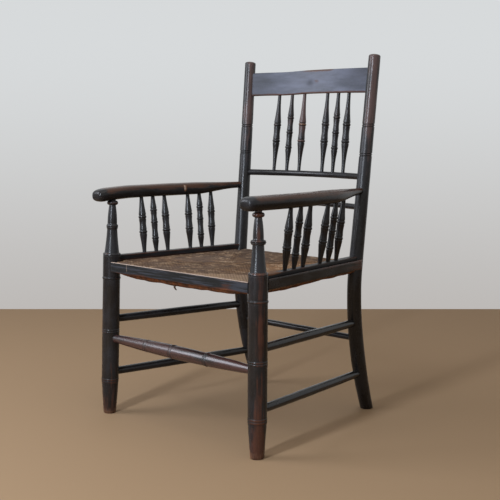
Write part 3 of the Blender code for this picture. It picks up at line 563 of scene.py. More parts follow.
def rush_colour(tree, grain, place, twist, fibres, spots):
    """Brown and tan cords, greyer on the left, golden on the right, orange where sheltered, with
    painted shade between their strands and between the cords.
    """
    across = part_of(tree, place, 0)
    strand = cloud(tree, grain, (0.0, 1.0, 9.0), 3.0)
    patches = cloud(tree, place, (11.0, 13.0, 11.0), 4.0)
    golden = cloud(tree, place, (7.0, 6.0, 7.0), 3.0)
    flecks = cloud(tree, place, (46.0, 52.0, 46.0), 5.0, 0.66)
    stains = cloud(tree, place, (44.0, 40.0, 44.0), 4.0, 0.6)

    tone = add(tree, spots, 0.45, calc(tree, "MULTIPLY", strand, 0.35))
    tone = add(tree, fibres, 0.2, tone)
    warmer = calc(tree, "MULTIPLY", step_up(tree, golden, 0.42, 0.6),
                  step_up(tree, across, -0.2, 0.16, 0.15, 0.75))
    greyer = calc(tree, "MULTIPLY", step_up(tree, patches, 0.44, 0.6),
                  step_up(tree, across, -0.2, 0.1, 0.6, 0.25))
    rust = tint(tree, step_up(tree, spots, 0.4, 0.62), (0.2, 0.062, 0.018), (0.06, 0.022, 0.01))
    # Painted shade in the gaps between the strands, and the stored painted shade between the cords.
    groove = calc(tree, "MAXIMUM", step_up(tree, twist, 0.0, 0.13, 0.5, 0.0), field(tree, "dirt_and_shade"))
    cords = tint(tree, step_up(tree, tone, 0.41, 0.59), (0.07, 0.04, 0.027), (0.225, 0.134, 0.078))
    return layered(tree, cords, (
        (warmer, (0.25, 0.13, 0.058)),
        (greyer, (0.145, 0.104, 0.082)),
        (step_up(tree, stains, 0.51, 0.64, 0.0, 0.7), (0.08, 0.049, 0.035)),
        # The lighter wedge at the front right.
        (calc(tree, "MULTIPLY", field(tree, "bare"), 0.75), (0.38, 0.256, 0.166)),
        (step_up(tree, flecks, 0.54, 0.64, 0.0, 0.9), (0.4, 0.275, 0.17)),
        (step_up(tree, spots, 0.6, 0.74, 0.0, 0.6), (0.05, 0.03, 0.02)),
        (calc(tree, "MULTIPLY", field(tree, "wear"), 0.9), rust),
        (groove, (0.045, 0.026, 0.015)),
    ))


def rush_material():
    """Dry twisted rush, with painted shade between its strands."""
    material, tree, shader = new_material("rush_cords")
    grain = field(tree, "grain", "Vector")
    place = node(tree, "ShaderNodeTexCoord").outputs["Object"]
    turns = add(tree, part_of(tree, grain, 2), 1 / 0.0085, part_of(tree, grain, 0))
    twist = calc(tree, "PINGPONG", turns, 0.5)
    fibres = cloud(tree, grain, (9.0, 1.0, 240.0), 3.0)
    spots = cloud(tree, place, (75.0, 75.0, 75.0), 5.0, 0.6)
    height = add(tree, fibres, 0.35, step_up(tree, twist, 0.0, 0.3))
    connect(tree, shader, {
        "Base Color": rush_colour(tree, grain, place, twist, fibres, spots),
        "Roughness": add(tree, spots, 0.3, 0.58), "Specular IOR Level": 0.22,
        "Normal": bump(tree, height, 0.7, 0.0007),
    })
    return material


DARK = dict(
    black=(0.0075, 0.0072, 0.0075), soot=(0.017, 0.0145, 0.014),
    brown=(0.046, 0.022, 0.016), red=(0.09, 0.034, 0.022), orange=(0.2, 0.072, 0.028),
    raw=(0.25, 0.125, 0.065), raw_dark=(0.13, 0.06, 0.034), bloom_and_sheen=(0.03, 0.032, 0.04),
    film=0.35, film_edges=(0.38, 0.66), film_scale=(30.0, 30.0, 14.0), roughness=0.22,
    specular=0.34, bump=0.18, dust=0.14, coat=0.0,
)
ARM_LOOK = dict(
    DARK, brown=(0.056, 0.026, 0.016), red=(0.096, 0.043, 0.025),
    orange=(0.16, 0.078, 0.036), roughness=0.27, specular=0.19, bump=0.08, dust=0.0,
    coat=0.15,
)
STRETCHER_LOOK = dict(
    DARK, brown=(0.032, 0.017, 0.017), red=(0.074, 0.029, 0.024), roughness=0.25,
    specular=0.68, dust=0.0, bump=0.1,
)
POST_LOOK = dict(
    DARK, brown=(0.066, 0.043, 0.042), red=(0.12, 0.072, 0.062),
    orange=(0.165, 0.088, 0.05), roughness=0.28,
)
RAIL_LOOK = dict(DARK, specular=0.16, roughness=0.36)
# The crest's blue-grey black, soot and bloom colours are painted sheen of the window light over a real
# bloom of the old shellac.
CREST_LOOK = dict(
    DARK, black=(0.034, 0.041, 0.058), soot=(0.06, 0.067, 0.09),
    bloom_and_sheen=(0.17, 0.186, 0.25), film=0.9, film_edges=(0.28, 0.74),
    film_scale=(26.0, 26.0, 6.0), roughness=0.42, specular=0.38, dust=0.05,
)
# The strip's bluish bloom is partly real bloom and partly painted sheen of the window light.
STRIP_LOOK = dict(
    DARK, black=(0.008, 0.009, 0.009), soot=(0.019, 0.02, 0.021),
    bloom_and_sheen=(0.05, 0.055, 0.07), film=0.6, film_edges=(0.48, 0.6),
    film_scale=(270.0, 270.0, 12.0), roughness=0.38, specular=0.18,
    raw=(0.5, 0.4, 0.33), raw_dark=(0.36, 0.26, 0.2), dust=0.05,
)

dark_wood = stained_wood("dark_stained_wood", DARK)
arm_wood = stained_wood("rubbed_arm_wood", ARM_LOOK)
stretcher_wood = stained_wood("rubbed_stretcher_wood", STRETCHER_LOOK)
post_wood = stained_wood("rubbed_post_wood", POST_LOOK)
rail_wood = stained_wood("dull_rail_wood", RAIL_LOOK)
crest_wood = stained_wood("crest_wood_with_painted_sheen", CREST_LOOK)
strip_wood = stained_wood("strip_wood_with_painted_sheen", STRIP_LOOK)
rush_cords = rush_material()


# Front legs


LEG_STATIONS = (
    (0.0, FOOT_RADIUS - FOOT_EDGE[1]), (FOOT_EDGE[0], FOOT_RADIUS), (LOW_RING_Z, LEG_RADIUS * 0.985),
    (LEG_RING_Z, LEG_RADIUS), (BLOCK_RING_Z, LEG_RADIUS), (BLOCK_RING_Z + 0.001, BLOCK_RADIUS),
    (SHOULDER_Z - 0.0022, BLOCK_RADIUS), (SHOULDER_Z - 0.0006, BLOCK_RADIUS - 0.0012),
    (SHOULDER_Z, FLARE_RADIUS),
)


def leg_radius(distance):
    """Radius of a front leg, its beads left out."""
    if distance < SHOULDER_Z:
        return along_stations(LEG_STATIONS, distance)
    low = ARM_RING_Z - 2 * RING_HALF
    high = ARM_RING_Z + 2 * RING_HALF
    if distance < low:
        t = (distance - SHOULDER_Z) / (low - SHOULDER_Z)
        return mix(WAIST_RADIUS, FLARE_RADIUS, (1 - t) ** WAIST_POWER)
    if distance < high:
        return WAIST_RADIUS
    t = min(1.0, (distance - high) / (KNOB_Z - KNOB_HALF - high))
    return mix(NECK_RADIUS, WAIST_RADIUS * 0.94, 1 - t * t)


def leg_mark(side, place, outward):
    """Wear and bare wood of a front leg: worn foot, and a rubbed outer side on the right leg."""
    z = place.z
    wear = 0.06 + 0.25 * ease(0.11, 0.0, z) + 0.16 * ease(0.508, 0.517, z)
    shoulder = ease(0.3955, 0.3975, z) * ease(0.4003, 0.3993, z)
    if side > 0:
        waist = ease(0.397, 0.401, z) * ease(0.47, 0.462, z)
        facing = max(0.0, 0.82 * outward.x - 0.57 * outward.y)
        patchy = 1.0 + 0.5 * noise.noise(Vector((outward.x * 1.5, outward.y * 1.5, z * 28)))
        wear += 0.35 * facing ** 4 * patchy * (1 - 0.9 * waist)
        wear += 0.1 * ease(0.16, 0.05, z) + 0.42 * shoulder
    else:
        wear += 0.15 * ease(0.3, 0.1, z) + 0.28 * shoulder
    return wear, 0.4 * ease(0.045, 0.004, z)


def front_leg(word):
    side = SIDES[word]
    low = leg_axis(side, 0.0)
    high = leg_axis(side, ARM_TOP_Z - 0.012)
    bead = (BEAD_RADIUS - WAIST_RADIUS) * (1.0 if side > 0 else LEFT_BEAD)
    features = twins(LOW_RING_Z, 0.003, RING_HALF * 0.95, LEG_RING_RISE)
    features += twins(LEG_RING_Z, 0.0026, 0.0024, LEG_RING_RISE)
    features += [(BLOCK_RING_Z, 0.0026, RING_RISE * 1.6), (BLOCK_RING_Z + 0.0042, *FINE_GROOVE),
                 (SHOULDER_Z - 0.0068, 0.0009, -0.0006),
                 (ARM_RING_Z - 0.0022, 0.003, bead - 0.0004), (ARM_RING_Z + 0.0022, 0.003, bead),
                 (KNOB_Z, KNOB_HALF, KNOB_RADIUS - NECK_RADIUS)]
    extra = [0.0006, FOOT_EDGE[0]]
    extra += [SHOULDER_Z + away for away in (-0.0022, -0.0014, -0.0006, -0.00001, 0.0002)]
    rings = lathe(low, high, leg_radius, features, 1.0 + side,
                  lambda place, outward: leg_mark(side, place, outward), 40, extra)
    for ring in rings:
        for place, _, _ in ring:
            place.z = max(place.z, 0.0)
    name = "front_leg_" + word
    make_skin(name + "_turned", [rings], dark_wood, name)


# Back posts


def post_mark(side, place, outward):
    """Wear and bare wood of a back post: rubbed red-brown toward the top, worn foot."""
    upper = ease(0.52, 0.78, place.z)
    facing = max(0.0, 0.84 * outward.x - 0.54 * outward.y)
    wear = 0.09 + upper * ((0.16 if side > 0 else 0.12) + 0.36 * facing ** 2)
    wear += 0.1 * ease(0.872, 0.88, place.z) + 0.22 * ease(0.06, 0.0, place.z)
    return wear, 0.3 * ease(0.02, 0.002, place.z)


def back_post(word):
    """Level rings on a leaning axis, turned square to it at the domed top."""
    side = SIDES[word]
    features = [groove for z in POST_GROOVES for groove in twins(z, 0.0027, 0.0015, -0.0013)]
    shoulder = POST_HEIGHT - POST_DOME
    dome = [shoulder + POST_DOME * t for t in (0.0, 0.35, 0.6, 0.8, 0.93, 1.0)]
    rings = []
    for z in places(0.0, POST_HEIGHT, features, [FOOT_EDGE[0], *dome], step=0.008):
        rise, _, dirt_and_shade = relief(z, features)
        centre = post_axis(side, z)
        slope = (post_y(z + 0.001) - post_y(z - 0.001)) / 0.002
        radius = along_stations(POST_RADII, z) + rise
        if z < FOOT_EDGE[0]:
            radius -= FOOT_EDGE[1]
        radius *= math.sqrt(max(0.0, 1 - 0.75 * max(0.0, (z - shoulder) / POST_DOME) ** 2.5))
        square = ease(0.8, shoulder, z)
        stretch = math.hypot(1.0, slope)
        ring = []
        for cos, sin in circle(40):
            outward = Vector((cos, sin, 0.0))
            deep = outward.y * mix(stretch, 1 / stretch, square)
            drop = square * slope * outward.y * radius / stretch
            place = centre + Vector((outward.x * radius, deep * radius, -drop))
            place += outward * wobble(place, 0.0003, 5.0 + side)
            grain = (outward.x * radius, outward.y * radius, z + 2.2 * side)
            wear, bare = post_mark(side, place, outward)
            ring.append((place, grain, (min(1.0, wear), dirt_and_shade, bare)))
        rings.append(ring)
    name = "back_post_" + word
    make_skin(name + "_turned", [rings], post_wood, name)


# Bars and rods


def bar(name, start, end, end_radius, radius, seed, wear):
    """A slightly swelling bar."""
    length = (end - start).length

    def radius_at(distance):
        t = clamp(distance / length)
        return mix(end_radius, radius, math.sin(math.pi * t) ** 0.7)

    rings = lathe(start, end, radius_at, [], seed, lambda place, outward: (wear, 0.0), 24,
                  uneven=0.0003)
    make_skin(name + "_turned", [rings], dark_wood, name)


def side_and_back_stretchers():
    seed = 10.0
    for word, side in SIDES.items():
        for level, front_z, back_z in SIDE_STRETCHERS:
            start, end = between(leg_axis(side, front_z), post_axis(side, back_z))
            seed += 1.0
            bar("side_stretcher_" + level + "_" + word, start, end, *SIDE_STRETCHER_RADII, seed,
                0.24 if side > 0 else 0.08)
    start, end = between(post_axis(-1, BACK_STRETCHER_Z), post_axis(1, BACK_STRETCHER_Z))
    bar("back_stretcher", start, end, *BACK_STRETCHER_RADII, 20.0, 0.08)


def front_stretcher():
    """The stout bar in front, with three raised rings like bamboo."""
    start, end = between(leg_axis(-1, FRONT_STRETCHER_Z), leg_axis(1, FRONT_STRETCHER_Z))
    span = (end - start).length - 2 * FRONT_STRETCHER_TENON

    def radius_at(distance):
        t = clamp((distance - FRONT_STRETCHER_TENON) / span)
        return mix(*FRONT_STRETCHER_RADII, math.sin(math.pi * t) ** 0.8)

    features = []
    for share, rise in FRONT_STRETCHER_RINGS:
        centre = FRONT_STRETCHER_TENON + span * share
        features += [(centre, 0.0034, rise), *twins(centre, 0.0046, *FINE_GROOVE)]

    def mark(place, outward):
        return 0.46 + 0.15 * max(0.0, -outward.z - 0.2 * outward.y), 0.0

    rings = lathe(start, end, radius_at, features, 21.0, mark, 36, rub=-0.1)
    make_skin("front_stretcher_turned", [rings], stretcher_wood, "front_stretcher")


def bowed_rod(name, z, radius, seed):
    """A round rod bowed backwards between the posts."""
    half = post_axis(1, z).x
    reach = half - TENON_STOP
    rings = []
    for x in spread(-reach, reach, 60):
        centre = back_point(x, z, ROD_BOW)
        slope = -2 * ROD_BOW * x / half ** 2
        across = Vector((-slope, 1.0, 0.0)).normalized()
        ring = []
        for cos, sin in circle(24):
            outward = across * cos + Vector((0.0, 0.0, sin))
            place = centre + outward * radius
            place += outward * wobble(place, 0.0003, seed)
            ring.append((place, (cos * radius, sin * radius, x + seed * 0.73), (0.1, 0.0, 0.0)))
        rings.append(ring)
    make_skin(name + "_turned", [rings], dark_wood, name)


# Boards


def crest_mark(x, up, edge):
    """Rubbed edges, the smudge and the hand mark in the middle, and dirt toward both ends."""
    smudge = 0.75 * near(x, -0.018, 0.012) * near(up, -0.002, 0.009)
    smudge += 0.6 * ease(0.06, 0.15, x) * (0.4 + 0.6 * ease(-0.02, 0.02, up))
    smudge += 0.55 * ease(-0.1, -0.18, x)
    hand = 0.48 * near(x, 0.004, 0.015) * near(up, -0.001, 0.01)
    rub = edge * (0.62 if up < 0 else 0.15 + 0.55 * near(x, 0.015, 0.05))
    return min(1.0, 0.04 + rub + hand), min(0.8, smudge), 0.0


def crest_rail():
    """The flat rail of the back, bowed in plan, with eased edges."""
    post = post_axis(1, CREST_Z)
    reach = post.x - TENON_STOP
    outline = rounded_section(CREST_THICKNESS, CREST_HEIGHT, 0.0026, 5, 10)
    rings = []
    for x in spread(-reach, reach, 90):
        curve = 1 - (x / post.x) ** 2
        slope = math.atan(2 * CREST_BOW * x / post.x ** 2)
        ring = []
        for across, up, edge in outline:
            y = post.y + CREST_BOW * curve + POST_RAKE * up + across * math.cos(slope)
            place = Vector((x + across * math.sin(slope), y, CREST_Z + up + CREST_ARCH * curve))
            place.y += wobble(place, 0.0004, 31.0, 14.0)
            place.z -= CREST_DIP * near(x, -0.1, 0.05)
            ring.append((place, (across, up, x + 3.3), crest_mark(x, up, edge)))
        rings.append(ring)
    make_skin("crest_rail_board", [rings], crest_wood, "crest_rail")


def board(name, start, end, size, edge, seed, material, mark_at, trims=None, fine=()):
    """A board with eased edges.

    size is its height and thickness, trims shorten its ends, and fine adds shares of its length
    where it has a fine mark.
    """
    along = (end - start).normalized()
    across = Vector((-along.y, along.x, 0.0)).normalized()
    length = (end - start).length
    up_axis = along.cross(across)
    height, thickness = size
    shares = sorted([edge / length, 1 - edge / length, *spread(0.0, 1.0, 80), *fine])
    rings = []
    for share in shares:
        inset = edge * 0.8 if share in (0.0, 1.0) else 0.0
        ring = []
        for a, u, rub in rounded_section(thickness - 2 * inset, height - 2 * inset, edge):
            first, last = (trim(a) for trim in trims) if trims else (0.0, 0.0)
            distance = mix(first, length - last, share)
            place = start + along * distance + across * a + up_axis * u
            place += across * wobble(place, 0.0003, seed, 20.0)
            wear, bare = mark_at(place, u / height, rub)
            ring.append((place, (a, u, distance + seed), (min(1.0, wear), 0.0, bare)))
        rings.append(ring)
    make_skin(name + "_board", [rings], material, name)


def scribe(radius, out, turn):
    """How far a strip stops short of the middle of a leg, at each depth of its thickness."""
    return lambda a: math.sqrt(max(radius ** 2 - (out - turn * a) ** 2, 0.0))


def front_strip_mark(place, up, rub):
    """A pale worn top edge, an upright scratch near the left end and two rubbed patches."""
    line = ease(0.43, 0.49, up)
    scratch = 0.5 * near(place.x, SCRATCH_X, 0.001) * ease(-0.45, -0.2, up)
    patch = 0.44 * near(place.x, 0.165, 0.03) * ease(0.25, 0.05, up)
    patch += 0.3 * near(place.x, -0.11, 0.03) * ease(0.0, -0.3, up)
    return 0.06 + 0.3 * rub + patch, max(0.85 * line, scratch)


def side_strip_mark(place, up, rub):
    return 0.2 + 0.22 * rub * (1.0 if up > 0 else 0.3) + 0.3 * ease(0.1, 0.16, place.y), 0.0


def spindle_rail_mark(place, up, rub):
    dusty = 0.95 * ease(0.2, 0.45, up) * ease(-0.12, -0.19, place.y) * ease(0.0, 0.1, place.x)
    return 0.1 + 0.3 * rub, dusty


def strips_and_rails():
    """The thin strips over the edges of the rush, and the rails that carry the arm spindles."""
    out = RUSH_OUTSET + 0.0003 + STRIP_THICKNESS / 2
    leg_hold = BLOCK_RADIUS + 0.0006
    post_hold = POST_AT_SEAT + 0.0009
    z, height = FRONT_STRIP
    reach, y = SEAT_FRONT.x, SEAT_FRONT.y - out
    trim = scribe(leg_hold, out, 1)
    span = 2 * reach - SHORT_END - trim(-STRIP_THICKNESS / 2)
    fine = [(SCRATCH_X + away + reach - SHORT_END) / span for away in SCRATCH_POINTS]
    board("front_strip", Vector((-reach, y, z)), Vector((reach, y, z)),
          (height, STRIP_THICKNESS), 0.0012, 41.0, strip_wood, front_strip_mark,
          (lambda a: max(trim(a), SHORT_END), trim), fine)
    z, height = SIDE_STRIP
    for word, side in SIDES.items():
        front = leg_axis(side, SEAT_RAIL_Z)
        back = post_axis(side, SEAT_RAIL_Z)
        along = (back - front).normalized()
        outward = Vector((side * along.y, -side * along.x, 0.0)).normalized()
        start, end = front + outward * out, back + outward * out
        start.z = end.z = z
        trims = (scribe(leg_hold, out, side), scribe(post_hold, out, side))
        board("side_strip_" + word, start, end, (height, STRIP_THICKNESS), 0.0012, 42.0 + side,
              dark_wood, side_strip_mark, trims)
        start, end = between(leg_axis(side, SPINDLE_RAIL_Z), post_axis(side, SPINDLE_RAIL_Z))
        board("spindle_rail_" + word, start, end, SPINDLE_RAIL, 0.0016, 45.0 + side, rail_wood,
              spindle_rail_mark)


# Spindles


def spindle(name, low, high, shape, seed, wear, material, rub):
    """One spindle: tapered ends, a raised band between two fine grooves at each ring, and waists."""
    end_radius, radius, shares, power = shape
    along = (high - low).normalized()
    start, end = low - along * SPINDLE_TENON, high + along * SPINDLE_TENON
    length = (end - start).length
    span = length - 2 * SPINDLE_TENON
    half = SPINDLE_RING_HALF
    rings = [SPINDLE_TENON + span * share for share in shares]

    def taper(run, ring):
        t = clamp((run - SPINDLE_TENON) / (ring - half - SPINDLE_TENON))
        return mix(end_radius, radius, t ** power) - SPINDLE_STEP

    def radius_at(distance):
        if distance < rings[0] - half * 0.7:
            return taper(distance, rings[0])
        if distance > rings[-1] + half * 0.7:
            return taper(length - distance, length - rings[-1])
        waist = 0.0
        for first, second in zip(rings, rings[1:]):
            t = (distance - first - half * 0.7) / (second - first - half * 1.4)
            if 0 < t < 1:
                waist = (SPINDLE_WAIST - SPINDLE_STEP) * math.sin(math.pi * t)
        return radius - SPINDLE_STEP - waist

    features = []
    for place in rings:
        features += [(place, half * 0.4, 0.0007), *twins(place, half * 0.58, half * 0.18, -0.001)]

    def mark(place, outward):
        height = (place - start).dot(along) / length
        return wear[0] + wear[1] * ease(0.35, 0.7, height), 0.0

    skin = lathe(start, end, radius_at, features, seed, mark, 24, uneven=0.00022, rub=rub)
    make_skin(name + "_turned", [skin], material, name)


def back_spindles():
    for number, place in enumerate((-3, -2, -1, 1, 2, 3), start=1):
        x = place * BACK_SPINDLE_PITCH
        low = back_point(x, UPPER_ROD[0], ROD_BOW)
        low.z += UPPER_ROD[1]
        crest_low = CREST_Z - CREST_HEIGHT / 2
        high = back_point(x, crest_low, CREST_BOW)
        high.z += CREST_ARCH * (1 - (x / post_axis(1, crest_low).x) ** 2)
        shape = MIDDLE_BACK if abs(place) == 2 else OUTER_BACK
        wear = {2: (0.16, 0.18), 3: (0.26, 0.36)}.get(number, (0.12, 0.16))
        spindle("back_spindle_%d" % number, low, high, shape, 50.0 + number, wear, post_wood,
                0.6 if number == 3 else 0.08)


def arm_spindles(word):
    side = SIDES[word]
    rail_top = SPINDLE_RAIL_Z + SPINDLE_RAIL[0] / 2
    number = 0
    for group_low, group_high in zip(ARM_GROUPS_LOW, ARM_GROUPS_HIGH):
        for place in range(3):
            number += 1
            low = side_line(side, group_low + place * ARM_PITCH_LOW, rail_top)
            low.x += side * ARM_SPINDLE_OUTSET
            y = group_high + place * ARM_PITCH_HIGH
            x = side * (arm_x(y) + ARM_SPINDLE_OUTSET)
            high = Vector((x, y - MIDDLE_Y, arm_size(y)[1]))
            shape = MIDDLE_ARM if place == 1 else OUTER_ARM
            seed = 60.0 + number + 10 * side
            spindle("arm_spindle_%s_%d" % (word, number), low, high, shape, seed, (0.08, 0.06),
                    dark_wood, 0.12)


# Arms


def arm_x(y):
    t = max(0.0, (y - ARM_BEND_Y) / (ARM_REAR_Y - ARM_BEND_Y))
    return mix(ARM_FRONT_X, post_axis(1, ARM_REAR_Z).x, t ** ARM_BEND_POWER)


def arm_size(y):
    """Half width, bottom and top of an arm at a depth."""
    t = ease(ARM_TAPER_Y, ARM_REAR_Y - POST_AT_ARM, y)
    half = mix(ARM_HALF_WIDTH, ARM_REAR_RADIUS, t)
    bottom = mix(ARM_BOTTOM_Z, ARM_REAR_Z - ARM_REAR_RADIUS, t)
    top = mix(ARM_TOP_Z, ARM_REAR_Z + ARM_REAR_RADIUS, t)
    nose = clamp((y - ARM_TIP_Y) / ARM_NOSE)
    grown = (1 - (1 - nose) ** ARM_NOSE_POWER) ** (1 / ARM_NOSE_POWER)
    wide, tall = (mix(tip, 1.0, grown) for tip in ARM_NOSE_TIP)
    middle = (bottom + top) / 2
    return half * wide, mix(middle, bottom, tall), mix(middle, top, tall)


def arm_mark(side, y, across, up, facing_up):
    """Worn on top, and a pale chip on the inner side of the left arm."""
    nose = ease(ARM_TIP_Y + 0.002, ARM_TIP_Y + 0.03, y)
    wear = 0.08 + 0.46 * ease(-0.3, 0.5, facing_up) * nose
    bare = 0.0
    if side < 0 and across < 0.0:
        bare = 1.8 * near(y, CHIP_Y, 0.003) * ease(-0.35, -0.15, up) * ease(0.8, 0.6, up)
    return min(1.0, wear), 0.0, bare


def arm(word):
    """A rounded arm, whose first ring is a small one that closes the nose."""
    side = SIDES[word]
    nose = [ARM_TIP_Y + ARM_NOSE * t for t in (0.0, 0.01, 0.04, 0.09, 0.16, 0.26, 0.4, 0.56, 0.76, 1.0)]
    body = spread(nose[-1], ARM_REAR_Y - TENON_STOP, 110)[1:]
    rings = []
    for y in [nose[0], *nose, *body]:
        half, bottom, top = arm_size(y)
        deep = (top - bottom) / 2
        small = 1.0 if rings else 0.5
        square = mix(0.72, 1.0, ease(ARM_TAPER_Y, ARM_REAR_Y - 0.04, y))
        droop = 0.0
        if side < 0:
            droop = LEFT_ARM_DROOP * ease(0.06, -0.04, y) + LEFT_NOSE_DROOP * ease(-0.015, -0.048, y)
        ring = []
        for cos, sin in circle(44):
            across = math.copysign(abs(cos) ** square, cos) * small
            up = math.copysign(abs(sin) ** square, sin) * small
            x = side * (arm_x(y) + half * across)
            place = Vector((x, y - MIDDLE_Y, (bottom + top) / 2 + deep * up))
            outward = Vector((side * cos, 0.0, sin))
            place += outward * wobble(place, 0.0004, 80.0 + side, 16.0)
            place.z -= droop
            grain = (half * across, deep * up, y + 4.0 * side)
            ring.append((place, grain, arm_mark(side, y, across, up, sin)))
        rings.append(ring)
    make_skin("arm_" + word + "_shaped", [rings], arm_wood, "arm_" + word)


# Rush seat


def seat_half(y):
    """Half the seat's width at a depth, out to the outer face of the rush."""
    share = (y - SEAT_FRONT.y) / (SEAT_BACK.y - SEAT_FRONT.y)
    return mix(SEAT_FRONT.x, SEAT_BACK.x, share) + RUSH_OUTSET


def distance_from_edge(x, y):
    return min(seat_half(y) - abs(x), y - RUSH_FRONT_Y, RUSH_BACK_Y - y)


def seat_heights(x, y):
    """Top and underside of the rush."""
    edge = max(0.0, distance_from_edge(x, y))
    back = (y - RUSH_FRONT_Y) / (RUSH_BACK_Y - RUSH_FRONT_Y)
    inset = min(1.0, edge / RUSH_OUTSET)
    swell = max(0.45, (1 - (1 - inset) ** 2.2) ** (1 / 2.2))
    below = mix(RUSH_BELOW_FRONT, RUSH_BELOW_BACK, max(0.0, back) ** 0.7)
    below += RUSH_FRONT_SAG * (1 - (x / seat_half(y)) ** 2) * (1 - back)
    below += RUSH_SAG * ease(0.02, 0.12, edge)
    corner = math.hypot(SEAT_FRONT.x - abs(x), y - SEAT_FRONT.y)
    below -= RUSH_CORNER_LIFT * max(0.0, 1 - corner / RUSH_CORNER_REACH)
    below += RUSH_LUMPS * noise.noise(Vector((x * 26, y * 26, 4.0)))
    dish = RUSH_DISH * ease(0.03, 0.14, edge)
    dish += RUSH_RIPPLE * noise.noise(Vector((x * 45, y * 45, 9.0)))
    return SEAT_RAIL_Z + RUSH_ABOVE * swell - dish - 0.0004, SEAT_RAIL_Z - below * swell


def cord_path(start, inward, length):
    """Points of one cord: from the seam over the top, round the rail and back underneath."""
    count = max(1, round((length - CORD_TURN[-1]) / CORD_STEP))
    steps = [*CORD_TURN, *spread(CORD_TURN[-1], length, count)[1:]]
    top, under = [], []
    for s in steps:
        if s <= length:
            place = start + inward * s
            high, low = seat_heights(place.x, place.y)
            top.append((s, high))
            under.append((s, low))
    outline = top[::-1] + under
    path = []
    for (s, z), before, after in neighbours(outline):
        run, rise = after[0] - before[0], after[1] - before[1]
        size = math.hypot(run, rise)
        path.append([s - rise / size * CORD_RADIUS, z + run / size * CORD_RADIUS])
    dip = CORD_RADIUS * 1.1
    path[0][1] -= dip
    path[-1][1] += dip
    return [start + inward * s + Vector((0.0, 0.0, z)) for s, z in path]


def cord_marks(point):
    """How sheltered a cord is at a place, how dark its line is, and how far it lies in the lighter
    wedge.

    A lighter wedge fills the front right, with a dark line along its edge.
    """
    sheltered = ease(0.3635, 0.357, point.z) * ease(0.05, 0.02, distance_from_edge(point.x, point.y))
    corner_x, corner_y = LIGHTER_WEDGE_CORNER
    inside = LIGHTER_WEDGE_SLOPE * (point.x - corner_x) - (point.y - corner_y)
    line = 0.75 * near(inside, -0.005, 0.0035) * ease(corner_x, 0.06, point.x)
    return sheltered, line, ease(-0.003, 0.003, inside) * ease(corner_x, 0.05, point.x)


def cord(points, sideways, tone):
    """One cord as a tube with a slightly flattened, uneven section."""
    rings = []
    distance = 0.0
    for point, before, after in neighbours(points):
        along = (after - before).normalized()
        upward = along.cross(sideways).normalized()
        distance += (point - before).length
        shift = sideways * 0.0007 * noise.noise(point * 60 + Vector((tone, 0.0, 0.0)))
        thick = CORD_RADIUS * (1.0 + 0.14 * noise.noise(point * 130 + Vector((0.0, tone, 0.0))))
        # The last mark is the share of the lighter wedge at the front right.
        sheltered, line, new = cord_marks(point)
        ring = []
        for j, (cos, sin) in enumerate(circle(8)):
            outward = sideways * (cos * 1.04) + upward * sin
            # Painted shade on the sides of each cord, where it presses on its neighbours; line adds the
            # dark line along the lighter wedge.
            side_shade = max(abs(cos) ** 5 * 0.42, line)
            place = point + shift + outward * thick
            ring.append((place, (j / 8, tone, distance), (sheltered, side_shade, new)))
        rings.append(ring)
    return rings


def rush_field(word, low, high, line_at, chance):
    """The cords of one side, whose start, way inward and length line_at gives."""
    tubes = []
    for value in spread(low, high, round((high - low) / CORD_PITCH)):
        start, inward, length = line_at(value)
        sideways = Vector((abs(inward.y), abs(inward.x), 0.0))
        tubes.append(cord(cord_path(start, inward, length + 0.001), sideways, chance.uniform(0, 40)))
    make_skin("rush_" + word, tubes, rush_cords, "rush_seat")


def rush_seat():
    """Four fields of cords that meet on the seams from the corners."""
    middle = (SEAT_FRONT.y + SEAT_BACK.y) / 2
    leg_gap = BLOCK_RADIUS + 2 * RING_RISE + 0.0012 + CORD_RADIUS
    post_gap = 0.019 + CORD_RADIUS
    chance = random.Random(7)

    for word, rail, gap, turn in (("front", SEAT_FRONT, leg_gap, 1), ("back", SEAT_BACK, post_gap, -1)):
        def down_line(x):
            share = min(1.0, (rail.x - abs(x)) / (rail.x - BRIDGE_HALF))
            start = Vector((x, rail.y - turn * RUSH_OUTSET, 0.0))
            return start, Vector((0.0, turn, 0.0)), abs(mix(rail.y, middle, share) - start.y)

        reach = rail.x - gap
        rush_field(word, -reach, reach, down_line, chance)

    for word, side in SIDES.items():
        def cross_line(y):
            corner = SEAT_FRONT if y < middle else SEAT_BACK
            share = min(1.0, abs(y - corner.y) / abs(middle - corner.y))
            start = Vector((side * seat_half(y), y, 0.0))
            return start, Vector((-side, 0.0, 0.0)), seat_half(y) - mix(corner.x, BRIDGE_HALF, share)

        rush_field(word, SEAT_FRONT.y + leg_gap, SEAT_BACK.y - post_gap, cross_line, chance)


def rush_core():
    """The stuffing between the two layers of cord, painted dark as the shade seen in the gaps between
    the cords.
    """
    front_y, back_y = SEAT_FRONT.y + CORE_CUT, SEAT_BACK.y - CORE_CUT
    outline = [(SEAT_FRONT.x - CORE_CUT, RUSH_FRONT_Y + CORE_INSET), (SEAT_FRONT.x - CORE_CUT, front_y),
               (seat_half(front_y) - CORE_INSET, front_y), (seat_half(back_y) - CORE_INSET, back_y),
               (SEAT_BACK.x - CORE_CUT, back_y), (SEAT_BACK.x - CORE_CUT, RUSH_BACK_Y - CORE_INSET)]
    outline += [(-x, y) for x, y in reversed(outline)]
    rings = []
    for z in CORE_LEVELS:
        rings.append([(Vector((x, y, z)), (x, y, z), (0.2, 0.9, 0.0)) for x, y in outline])
    make_skin("rush_core", [rings], rush_cords, "rush_seat")


